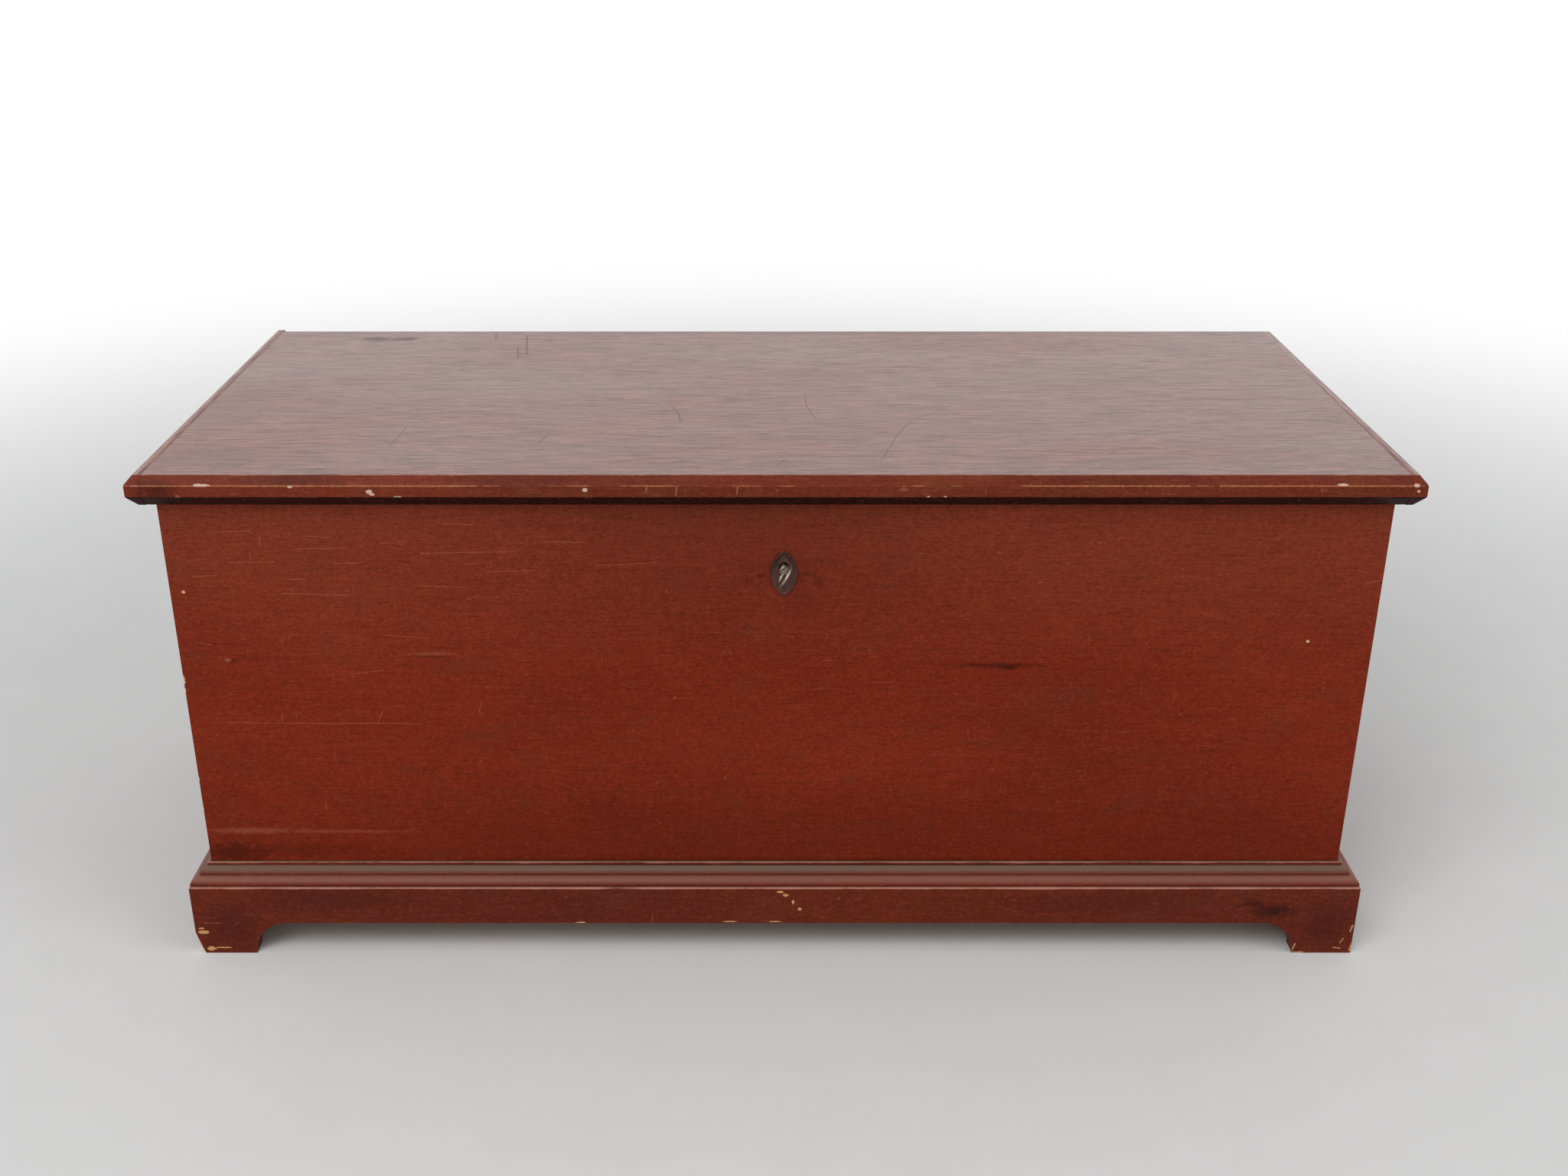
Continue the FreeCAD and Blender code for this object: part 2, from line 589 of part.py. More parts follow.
# ---------------------------------------------------------------- lock
lock_plate = body("lock_plate_blank")
slab(lock_plate, ("key_x - lock_width / 2 + seat_gap", "key_x + lock_width / 2 - seat_gap"),
     ("plate_front", "inner_front"), ("rim_z - lock_height + seat_gap", "lock_top"))
slab(lock_plate, ("key_x - selvage_length / 2 + seat_gap", "key_x + selvage_length / 2 - seat_gap"),
     ("lock_front + seat_gap", "inner_front"), ("selvage_low", "lock_top"))
slab(lock_plate, ("staple_face - staple - slot_gap", "staple_face + slot_gap"),
     ("works_y - staple_half - slot_gap", "works_y + staple_half + slot_gap"), ("selvage_low", "lock_top"),
     cut=True)
STUDS = [f"nose + stud_inset + stud + slide_gap + stud_pitch * {i}" for i in range(2)]
rivets = sketch(lock_plate, "XZ_Plane", "plate_front")
ring(rivets, "key_x", "key_z", "drill_pin")
for stud_x in STUDS:
    ring(rivets, stud_x, "(bar_top + bar_foot) / 2", "stud")
dig(lock_plate, rivets, "plate")

lock_cap = body("lock_cap_blank")
slab(lock_cap, ("key_x - cap_width / 2", "key_x + cap_width / 2"), ("lock_front + seat_gap", "plate_front"),
     ("rim_z - cap_height", "selvage_low"))
slab(lock_cap, ("key_x - cap_width / 2 + cap_wall", "key_x + cap_width / 2 - cap_wall"),
     ("cap_inner", "plate_front"), ("rim_z - cap_height + cap_wall", "selvage_low"), cut=True)

drill_pin = body("lock_drill_pin")
outline = sketch(drill_pin, "XZ_Plane", "shank_tip - bore_depth + slide_gap")
ring(outline, "key_x", "key_z", "drill_pin")
grow(drill_pin, outline, "inner_front - shank_tip + bore_depth - slide_gap")
keep("lock_drill_pin", drill_pin)

for index, stud_x in enumerate(STUDS):
    guide = body(f"lock_stud_{index}")
    bolt_front, bolt_back = "works_y - bolt / 2 - slide_gap", "works_y + bolt / 2 + slide_gap"
    for radius, start, end in (("stud", bolt_front, "inner_front"), ("stud_head", bolt_back, "plate_front"),
                               ("stud_head", f"{bolt_front} - stud_head_height", bolt_front)):
        outline = sketch(guide, "XZ_Plane", start)
        ring(outline, stud_x, "(bar_top + bar_foot) / 2", radius)
        grow(guide, outline, f"({end}) - ({start})")
    keep(f"lock_stud_{'left' if index == 0 else 'right'}", guide)

lock_bolt = body("lock_bolt")
outline = sketch(lock_bolt, "XZ_Plane", "works_y - bolt / 2")
talon_top = "key_z + bit_reach + talon_gap"
loop(outline, [("leg_middle - bolt_leg / 2", "key_z + mouth"), ("leg_middle - talon / 2", "key_z + mouth"),
               ("leg_middle - talon / 2", talon_top), ("leg_middle + talon / 2", talon_top),
               ("leg_middle + talon / 2", "key_z + mouth"), ("leg_middle + bolt_leg / 2", "key_z + mouth"),
               ("leg_middle + bolt_leg / 2", "bar_foot"), ("bar_end", "bar_foot"), ("bar_end", "bar_top"),
               ("nose", "bar_top"), ("nose", "bar_foot"), ("leg_middle - bolt_leg / 2", "bar_foot")])
grow(lock_bolt, outline, "bolt")
for index in range(2):
    low = f"nose + stud_inset + stud_pitch * {index}"
    slab(lock_bolt, (low, f"{low} + slot_length"), ("works_y - bolt / 2", "works_y + bolt / 2"),
         ("(bar_top + bar_foot) / 2 - stud - slide_gap", "(bar_top + bar_foot) / 2 + stud + slide_gap"), cut=True)
keep("lock_bolt", lock_bolt)

lock_spring = body("lock_spring")
outline = sketch(lock_spring, "XZ_Plane", "works_y - spring_width / 2")
SAG = "(selvage_low - bar_top - slide_gap)"
SPRING_X, SPRING_Z = "nose + spring_inset", "selvage_low"
outer_radius = f"((spring_span / 2) ^ 2 + {SAG} ^ 2) / (2 * {SAG})"
inner_radius = f"((spring_span / 2 - spring) ^ 2 + ({SAG} - spring) ^ 2) / (2 * ({SAG} - spring))"
loop(outline, [(SPRING_X, SPRING_Z, outer_radius), (f"{SPRING_X} + spring_span", SPRING_Z),
               (f"{SPRING_X} + spring_span - spring", SPRING_Z, f"-({inner_radius})"),
               (f"{SPRING_X} + spring", SPRING_Z)])
grow(lock_spring, outline, "spring_width")
keep("lock_spring", lock_spring)

STRIKE_X = ("staple_face - staple / 2 - strike_length / 2", "staple_face - staple / 2 + strike_length / 2")
strike = body("strike_blank")
slab(strike, STRIKE_X, ("works_y - strike_width / 2", "works_y + strike_width / 2"), ("rim_z - strike", "rim_z"))
slab(strike, ("staple_face - staple", "staple_face"), ("works_y - staple_half", "works_y + staple_half"),
     ("staple_low", "rim_z"))
slab(strike, ("staple_face - staple", "staple_face"),
     ("works_y - bolt / 2 - staple_gap", "works_y + bolt / 2 + staple_gap"),
     ("bar_foot - staple_gap", "bar_top + staple_gap"), cut=True)


# ---------------------------------------------------------------- key
key = body("key")
ring_far = "bow_middle + bow_outer - bow_bar / 2"
outline = sketch(key, "XZ_Plane", ring_far)
ring(outline, "0", "0", "shank")
grow(key, outline, f"shank_tip - ({ring_far})")
slab(key, ("-bit / 2", "bit / 2"), ("works_y - bit_width / 2", "works_y + bit_width / 2"), ("0", "bit_reach"))
outline = sketch(key, "XZ_Plane", "shank_tip - bore_depth")
ring(outline, "0", "0", "shank_bore")
dig(key, outline, "bore_depth")
outline = sketch(key, "YZ_Plane", "-bow_thickness / 2")
ring(outline, "bow_middle", "0", "bow_outer")
ring(outline, "bow_middle", "0", "bow_outer - bow_bar")
grow(key, outline, "bow_thickness")
bow_radii = [number("bow_outer"), number("bow_outer - bow_bar")]
ease(key, "bow_round", lambda edge: isinstance(edge.Curve, Part.Circle) and abs(edge.Curve.Axis.x) > 0.9
     and any(abs(edge.Curve.Radius - radius) < 1e-6 for radius in bow_radii))
turn(key, V(0, 1, 0), "key_turn / 2")
move(key, "key_x", "0", "key_z")
keep("key", key)


# ---------------------------------------------------------------- escutcheon
def oval(name, inset, start, length):
    """Upright oval slab on the front board, grown along +Y from start."""
    edge = doc.addObject("Part::Ellipse", name + "_edge")
    edge.setExpression("MajorRadius", formula(f"plate_half_height - {inset}"))
    edge.setExpression("MinorRadius", formula(f"plate_half_width - {inset}"))
    thing = doc.addObject("Part::Extrusion", name)
    thing.Base = edge
    thing.DirMode = "Custom"
    thing.Dir = V(0, 0, 1)
    thing.Solid = True
    thing.setExpression("LengthFwd", formula(length))
    thing.Placement.Rotation = FreeCAD.Rotation(V(0, 0, 1), V(1, 0, 0), V(0, 1, 0))
    move(thing, "key_x", start, "plate_z")
    return thing


plate = oval("plate", "0", "front - scutcheon - rim_height", "scutcheon + rim_height")
hollow = oval("plate_hollow", "rim", "front - scutcheon - rim_height", "rim_height")
escutcheon = doc.addObject("Part::Cut", "plate_rimmed")
escutcheon.Base, escutcheon.Tool = plate, hollow

keyhole = body("keyhole")
outline = sketch(keyhole, "XZ_Plane", "front - scutcheon - over")
ring(outline, "key_x", "key_z", "keyhole")
grow(keyhole, outline, "plate_front - front + scutcheon + over")
slab(keyhole, ("key_x - keyhole_slot / 2", "key_x + keyhole_slot / 2"),
     ("front - scutcheon - over", "plate_front"), ("key_z - slot_reach", "key_z"))
doc.recompute()


# ---------------------------------------------------------------- fastenings and finished pieces
def row(end_low, end_high, inset, total):
    """Total places between two ends, the outer ones inset from them."""
    return spread(f"{end_low} + {inset}", f"{end_high} - {inset}", count(total))


SIDE_FACES = (("-side", RIGHT), ("side", LEFT))
bottom_holes = fasteners("bottom_nails", "nail", [
    (at(x, y, "floor_gap"), UP) for x in row("-side", "side", "wall_nail_inset", "wall_nails")
    for y in ("front + wall / 2", "rear - wall / 2")
] + [(at(x, y, "floor_gap"), UP) for x in ("-side + wall / 2", "side - wall / 2")
     for y in row("front", "rear", "end_nail_inset", "end_nails")])

base_holes = fasteners("base_nails", "brad", [
    (at(x, "front - base", "wall_foot + base_nail_rise"), IN)
    for x in row("-side", "side", "base_nail_inset", "base_nails")
] + [(at(f"{x} - {heading.x} * base", y, "wall_foot + base_nail_rise"), heading) for x, heading in SIDE_FACES
     for y in row("front", "rear", "base_nail_inset", "base_side_nails")])

BRAD_Z = "base_height + cove_height + fillet_height / 2"
cove_holes = fasteners("moulding_brads", "fine_brad", [
    (at(x, "front - fillet_out", BRAD_Z), IN) for x in row("-side", "side", "cove_brad_inset", "cove_brads")
] + [(at(f"{x} - {heading.x} * fillet_out", y, BRAD_Z), heading) for x, heading in SIDE_FACES
     for y in row("front", "rear", "cove_brad_inset", "cove_side_brads")])

cleat_holes = fasteners("cleat_nails", "brad", [
    (at(x, y, "(tongue_low + tongue_high) / 2"), heading)
    for x, heading in (("-lid_end", RIGHT), ("lid_end", LEFT))
    for y in row("lid_front", "lid_rear", "cleat_nail_inset", "cleat_nails")])

LEAF_SPOTS = [(f"{middle} + {offset}", "rear - wall / 2") for middle in HINGES.values()
              for offset in row("-hinge_length / 2", "hinge_length / 2", "leaf_screw_inset", "leaf_screws")]
case_leaf_holes = fasteners("hinge_case_screws", "screw",
                            [(at(x, y, "rim_z - leaf_gap"), DOWN) for x, y in LEAF_SPOTS])
lid_leaf_holes = fasteners("hinge_lid_screws", "screw",
                           [(at(x, y, "rim_z + leaf_gap"), UP) for x, y in LEAF_SPOTS])

lock_holes = fasteners("lock_screws", "small_screw", [
    (at(f"key_x + {sign} * (lock_width / 2 - lock_screw_inset)", "inner_front", z), OUT)
    for sign in (-1, 1) for z in ("rim_z - lock_screw_drop", "rim_z - lock_height + lock_screw_rise")
] + [(at(f"key_x + {sign} * (selvage_length / 2 - selvage_screw_inset)", "(lock_front + inner_front) / 2",
         "lock_top"), DOWN) for sign in (-1, 1)])

strike_holes = fasteners("strike_screws", "small_screw", [
    (at(x, "works_y", "rim_z - strike"), UP)
    for x in (f"{STRIKE_X[0]} + strike_screw_inset", f"{STRIKE_X[1]} - strike_screw_inset")])

plate_holes = fasteners("escutcheon_pins", "scutcheon_pin", [
    (at("key_x", "front - scutcheon", f"plate_z + {sign} * pin_spread"), IN) for sign in (-1, 1)])

drilled("front_board", front_board, keyhole, bottom_holes, base_holes, cove_holes, lock_holes, plate_holes)
drilled("back_board", back_board, bottom_holes, case_leaf_holes)
drilled("left_end_board", left_end, bottom_holes, base_holes, cove_holes)
drilled("right_end_board", right_end, bottom_holes, base_holes, cove_holes)
for index, board in enumerate(bottoms, start=1):
    drilled(f"bottom_board_{index}", board, bottom_holes)
for where in SIDES:
    drilled(f"base_{where}", base_boards[where], base_holes)
    drilled(f"cove_{where}", coves[where], cove_holes)
drilled("lid_board", lid_board, cleat_holes, lid_leaf_holes, strike_holes)
drilled("lid_cleat_left", left_cleat, cleat_holes)
drilled("lid_cleat_right", right_cleat, cleat_holes)
for side in HINGES:
    drilled(f"hinge_{side}_case_leaf", case_leaves[side], case_leaf_holes)
    drilled(f"hinge_{side}_lid_leaf", lid_leaves[side], lid_leaf_holes)
drilled("lock_plate", lock_plate, lock_holes)
drilled("lock_cap", lock_cap, keyhole)
drilled("lock_strike", strike, strike_holes)
drilled("escutcheon", escutcheon, keyhole, plate_holes)


# ---------------------------------------------------------------- check and export
doc.recompute()
for thing in doc.Objects:
    if "Invalid" in thing.State or "Error" in thing.State:
        raise RuntimeError(f"{thing.Label} failed: {thing.State}")
for label, thing in nodes.items():
    if thing.Shape.isNull() or not thing.Shape.isValid() or not thing.Shape.Solids:
        raise RuntimeError(f"{label} has no valid shape")

os.makedirs("parts", exist_ok=True)
for label, thing in sorted(nodes.items()):
    thing.Shape.exportStep(f"parts/{label}.step")
    print(f"{label}: {len(thing.Shape.Solids)} solid(s), {thing.Shape.Volume / 1000:.1f} cm3")
print(f"{len(nodes)} nodes, key turned {number('key_turn')} degrees throws the bolt {number('bolt_throw')} mm")
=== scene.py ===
"""Dresses the blanket chest: worn oil paint over pine, aged bare wood, iron, steel and old brass."""
import math

import bmesh
import bpy
from bpy.props import FloatProperty, FloatVectorProperty, IntProperty, PointerProperty
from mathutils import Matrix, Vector


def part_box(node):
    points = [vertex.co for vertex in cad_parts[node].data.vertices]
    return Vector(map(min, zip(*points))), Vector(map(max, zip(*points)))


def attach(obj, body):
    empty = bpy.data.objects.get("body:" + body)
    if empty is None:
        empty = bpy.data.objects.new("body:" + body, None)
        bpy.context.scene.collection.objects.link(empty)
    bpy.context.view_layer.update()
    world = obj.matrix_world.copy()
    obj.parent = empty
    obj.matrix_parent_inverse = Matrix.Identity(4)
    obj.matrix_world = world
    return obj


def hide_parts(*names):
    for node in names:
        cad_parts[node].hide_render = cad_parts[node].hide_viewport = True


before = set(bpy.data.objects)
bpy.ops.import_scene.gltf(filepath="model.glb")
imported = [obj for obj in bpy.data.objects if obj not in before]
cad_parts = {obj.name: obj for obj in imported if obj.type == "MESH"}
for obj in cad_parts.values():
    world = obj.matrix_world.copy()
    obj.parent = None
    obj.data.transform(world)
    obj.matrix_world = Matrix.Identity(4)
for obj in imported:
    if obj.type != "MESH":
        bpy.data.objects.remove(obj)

bl_info = {
    "name": "Painted blanket chest",
    "version": (1, 0, 0),
    "blender": (4, 5, 0),
    "location": "3D Viewport > Sidebar > Chest",
    "description": "Finishes the pieces of a painted pine blanket chest and sets its stage",
    "category": "Object",
}

MM = 0.001
# points nearer than this, in metres, are one point
WELD = 2e-6
# heights in millimetres: the lid's chamfer, the slope under its rim and the bead of the base
CHAMFER, SLOPE, BEAD = 8.5, 12, 9.6
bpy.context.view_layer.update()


def edge_of(node, axis, end):
    """Where a piece of the frame ends along an axis, in millimetres."""
    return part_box(node)[end][axis] / MM


FRONT, BACK = edge_of("front_board", 1, 0), edge_of("back_board", 1, 1)
SIDE, RIM = edge_of("front_board", 0, 1), edge_of("front_board", 2, 1)
LID_FRONT, LID_TOP, LID_END = edge_of("lid_board", 1, 0), edge_of("lid_board", 2, 1), edge_of("lid_board", 0, 1)
BASE_FRONT, BASE_SIDE = edge_of("base_front", 1, 0), edge_of("base_front", 0, 1)
BASE_TOP, COVE_TOP = edge_of("base_front", 2, 1), edge_of("cove_front", 2, 1)
FACE_FOOT, FACE_TOP, TOP_EDGE = RIM + SLOPE, LID_TOP - CHAMFER, LID_FRONT + CHAMFER
BEAD_FOOT = BASE_TOP - BEAD


def linear(code):
    """sRGB hex colour as linear RGBA."""
    parts = [int(code[i:i + 2], 16) / 255 for i in (1, 3, 5)]
    return [p / 12.92 if p <= 0.04045 else ((p + 0.055) / 1.055) ** 2.4 for p in parts] + [1.0]


# ---------------------------------------------------------------- sizes and colours a user may change
class ChestSizes(bpy.types.PropertyGroup):
    """Sizes of the wear and of the small round parts."""
    arris: FloatProperty(name="Worn arris", description="Radius that handling gave the outer edges",
                         default=1.2 * MM, min=0.2 * MM, max=3 * MM, unit="LENGTH")
    joint: FloatProperty(name="Joint arris", description="Radius of the edges where boards meet",
                         default=0.35 * MM, min=0.1 * MM, max=1.5 * MM, unit="LENGTH")
    break_height: FloatProperty(name="Broken corner", description="Height of the piece missing from the left foot",
                                default=27 * MM, min=1 * MM, max=40 * MM, unit="LENGTH")
    slot: FloatProperty(name="Screw slot", description="Width of the slots in the screw heads",
                        default=0.8 * MM, min=0.3 * MM, max=1.2 * MM, unit="LENGTH")
    seed: IntProperty(name="Seed", description="Changes how the screw slots and nail heads are turned", default=7)


class ChestColours(bpy.types.PropertyGroup):
    """Colours of the finishes, in linear light."""
    paint: FloatVectorProperty(name="Paint", description="Red-brown oil paint of the case", subtype="COLOR", size=4,
                               min=0, max=1, default=linear("#782510"))
    lid_paint: FloatVectorProperty(name="Lid paint", description="The same paint, dulled by light and handling",
                                   subtype="COLOR", size=4, min=0, max=1, default=linear("#864026"))
    base_paint: FloatVectorProperty(name="Base paint", description="The same paint, darker near the floor",
                                    subtype="COLOR", size=4, min=0, max=1, default=linear("#64210F"))


# ---------------------------------------------------------------- nodes
def add(tree, kind, feeds=None, **settings):
    """Adds a node with its settings, then sets or links the inputs named in feeds. A node among the feeds stands
    for its first output."""
    node = tree.nodes.new(kind)
    for name, value in settings.items():
        setattr(node, name, value)
    for key, value in (feeds or {}).items():
        if isinstance(value, bpy.types.Node):
            value = value.outputs[0]
        if isinstance(value, bpy.types.NodeSocket):
            tree.links.new(value, node.inputs[key])
        else:
            node.inputs[key].default_value = value
    return node


def group(name, kind, inputs, outputs):
    """An empty node group with its sockets, and the outputs of its input node."""
    tree = bpy.data.node_groups.new(name, kind)
    for way, sockets in (("INPUT", inputs), ("OUTPUT", outputs)):
        for label, holds in sockets.items():
            tree.interface.new_socket(label, in_out=way, socket_type="NodeSocket" + holds)
    return tree, add(tree, "NodeGroupInput").outputs


def mask_group(name, **inputs):
    """An empty shader group that makes a mask of a place."""
    return group(name, "ShaderNodeTree", dict(Place="Vector", **inputs), {"Mask": "Float"})


def make_scratch():
    """Mask of a thin line between two points, broken up along its length. All in millimetres."""
    tree, given = mask_group("Scratch", From="Vector", To="Vector", Width="Float")
    run = add(tree, "ShaderNodeVectorMath", {0: given["To"], 1: given["From"]}, operation="SUBTRACT")
    rel = add(tree, "ShaderNodeVectorMath", {0: given["Place"], 1: given["From"]}, operation="SUBTRACT")
    dot = add(tree, "ShaderNodeVectorMath", {0: rel, 1: run}, operation="DOT_PRODUCT")
    size = add(tree, "ShaderNodeVectorMath", {0: run, 1: run}, operation="DOT_PRODUCT")
    share = add(tree, "ShaderNodeMath", {0: dot.outputs["Value"], 1: size.outputs["Value"]}, operation="DIVIDE",
                use_clamp=True)
    near = add(tree, "ShaderNodeVectorMath", {0: run, "Scale": share}, operation="SCALE")
    off = add(tree, "ShaderNodeVectorMath", {0: rel, 1: near}, operation="DISTANCE")
    break_up = add(tree, "ShaderNodeTexNoise", {"Vector": given["Place"], "Scale": 0.35, "Detail": 3})
    width = add(tree, "ShaderNodeMath", {0: given["Width"], 1: break_up}, operation="MULTIPLY")
    add(tree, "NodeGroupOutput", {"Mask": between(tree, off.outputs["Value"], 0.0, width, 0.0, 1.0)})
    return tree


def make_spot(name, scale, detail, roughness, ragged, start, soft):
    """Mask of a spot round a centre, with a half size along each axis. Noise of a scale, detail and roughness moves
    its rim by half of ragged either way, and the mask falls from 1 at start to 0 at the rim."""
    tree, given = mask_group(name, Centre="Vector", Size="Vector", Amount="Float")
    rel = add(tree, "ShaderNodeVectorMath", {0: given["Place"], 1: given["Centre"]}, operation="SUBTRACT")
    unit = add(tree, "ShaderNodeVectorMath", {0: rel, 1: given["Size"]}, operation="DIVIDE")
    off = add(tree, "ShaderNodeVectorMath", {0: unit}, operation="LENGTH")
    cloud = noise(tree, given["Place"], scale, detail, roughness)
    edge = add(tree, "ShaderNodeMath", {0: cloud, 1: ragged, 2: -ragged / 2}, operation="MULTIPLY_ADD")
    reach = add(tree, "ShaderNodeMath", {0: off.outputs["Value"], 1: edge}, operation="ADD")
    mask = between(tree, reach, start, 1.0, 0.0, 1.0, soft)
    amount = add(tree, "ShaderNodeMath", {0: mask, 1: given["Amount"]}, operation="MULTIPLY")
    add(tree, "NodeGroupOutput", {"Mask": amount})
    return tree


def make_edge():
    """Mask of a worn line along an edge: the places that lie near its corner. Across is 0 on the axis that the
    edge runs along and 1 on the others."""
    tree, given = mask_group("Worn edge", Corner="Vector", Across="Vector", Width="Float", Gaps="Float")
    rel = add(tree, "ShaderNodeVectorMath", {0: given["Place"], 1: given["Corner"]}, operation="SUBTRACT")
    flat = add(tree, "ShaderNodeVectorMath", {0: rel, 1: given["Across"]}, operation="MULTIPLY")
    off = add(tree, "ShaderNodeVectorMath", {0: flat}, operation="LENGTH")
    patches = add(tree, "ShaderNodeTexNoise", {"Vector": given["Place"], "Scale": 0.018, "Detail": 5,
                                               "Roughness": 0.7})
    gate = add(tree, "ShaderNodeMath", {0: patches, 1: given["Gaps"]}, operation="SUBTRACT", use_clamp=True)
    width = add(tree, "ShaderNodeMath", {0: gate, 1: given["Width"]}, operation="MULTIPLY")
    wide = add(tree, "ShaderNodeMath", {0: width, 1: 4.0, 2: 0.001}, operation="MULTIPLY_ADD")
    add(tree, "NodeGroupOutput", {"Mask": between(tree, off.outputs["Value"], 0.0, wide, 0.0, 1.0)})
    return tree


MAKERS = {
    "Scratch": make_scratch, "Worn edge": make_edge,
    # paint gone from a ragged patch with a hard rim
    "Chip": lambda: make_spot("Chip", 0.45, 4.0, 0.65, 1.5, 0.85, False),
    # a soft cloud, as a knot under the paint or a dark hand mark leaves; some of these clouds are painted shadows and
    # painted shade
    "Cloud mask": lambda: make_spot("Cloud mask", 0.12, 5.0, 0.7, 1.8, 0.2, True)}


def marked(tree, place, marks):
    """One mask of a list of marks, each a kind of group with its inputs."""
    top = None
    for kind, feeds in marks:
        made = bpy.data.node_groups.get(kind) or MAKERS[kind]()
        mask = add(tree, "ShaderNodeGroup", dict(feeds, Place=place), node_tree=made)
        top = mask if top is None else add(tree, "ShaderNodeMath", {0: top, 1: mask}, operation="MAXIMUM")
    return top


def edge_wear(axis, corner, width, gaps):
    """A worn line along an axis through a corner, in millimetres. A higher gaps leaves less of it."""
    return "Worn edge", {"Corner": corner, "Across": [0.0 if k == axis else 1.0 for k in range(3)],
                         "Width": width, "Gaps": gaps}


def scratch(start, end, width):
    """A thin broken line from a start to an end, in millimetres."""
    return "Scratch", {"From": start, "To": end, "Width": width}


def chip(centre, size):
    """A ragged spot without paint round a centre, with a half size along each axis, in millimetres."""
    return "Chip", {"Centre": centre, "Size": size, "Amount": 1.0}


def soft_cloud(centre, size, amount=0.8):
    """A soft cloud round a centre, with a half size along each axis, in millimetres."""
    return "Cloud mask", {"Centre": centre, "Size": size, "Amount": amount}


def spot_rows(kind, y, rows):
    """Chips or soft clouds on a face that looks to the front, at a depth y. Each row has a place across and up, three
    half sizes and, for a cloud, its amount."""
    return [kind((x, y, z), tuple(rest[:3]), *rest[3:]) for x, z, *rest in rows]


def scratch_rows(y, rows):
    """Scratches on such a face: each row has a start and an end, across and up, and a width."""
    return [scratch((a, y, b), (c, y, d), width) for a, b, c, d, width in rows]


def blend(tree, share, low, high):
    """Colour that goes from low to high as share goes from 0 to 1."""
    return add(tree, "ShaderNodeMix", {"Factor": share, "A": low, "B": high}, data_type="RGBA").outputs["Result"]


def between(tree, value, start, end, amount=1.0, low=0.0, soft=False):
    """Share that goes from low at start to amount at end, evenly or with soft ends."""
    return add(tree, "ShaderNodeMapRange", {"Value": value, "From Min": start, "From Max": end, "To Min": low,
                                            "To Max": amount}, interpolation_type="SMOOTHSTEP" if soft else "LINEAR")


def over(tree, tone, pattern, start, end, amount, hue):
    """A tone with a hue laid over it: none of it where the pattern is at start, amount of it at end."""
    return blend(tree, between(tree, pattern, start, end, amount), tone, hue)


def noise(tree, place, scale, detail=4.0, rough=0.6):
    """Even noise. Its scale is how many of its clouds go to a millimetre."""
    return add(tree, "ShaderNodeTexNoise", {"Vector": place, "Scale": scale, "Detail": detail, "Roughness": rough})


def blank(name):
    """A material with its tree emptied, and the place in millimetres."""
    made = bpy.data.materials.new(name)
    made.use_nodes = True
    tree = made.node_tree
    tree.nodes.clear()
    spot = add(tree, "ShaderNodeTexCoord")
    place = add(tree, "ShaderNodeVectorMath", {0: spot.outputs["Object"], "Scale": 1000.0}, operation="SCALE")
    return made, tree, place


def drawn_out(tree, place, along, share=0.03):
    """The place pressed together along the grain, so a pattern on it is drawn out that way."""
    pressed = [share if axis == along else 1.0 for axis in range(3)]
    return add(tree, "ShaderNodeVectorMath", {0: place, 1: pressed}, operation="MULTIPLY")


def close(tree, feeds, height=None, strength=0.3, depth=0.4):
    """Ends the material in a principled surface, with a bump whose depth is in millimetres."""
    shader = add(tree, "ShaderNodeBsdfPrincipled", feeds)
    if height is not None:
        bump = add(tree, "ShaderNodeBump", {"Height": height, "Strength": strength, "Distance": depth * MM})
        tree.links.new(bump.outputs[0], shader.inputs["Normal"])
    add(tree, "ShaderNodeOutputMaterial", {"Surface": shader})


def scaled(colour, share):
    """A colour made darker or lighter by a share."""
    return [min(1.0, c * share) for c in colour[:3]] + [1.0]


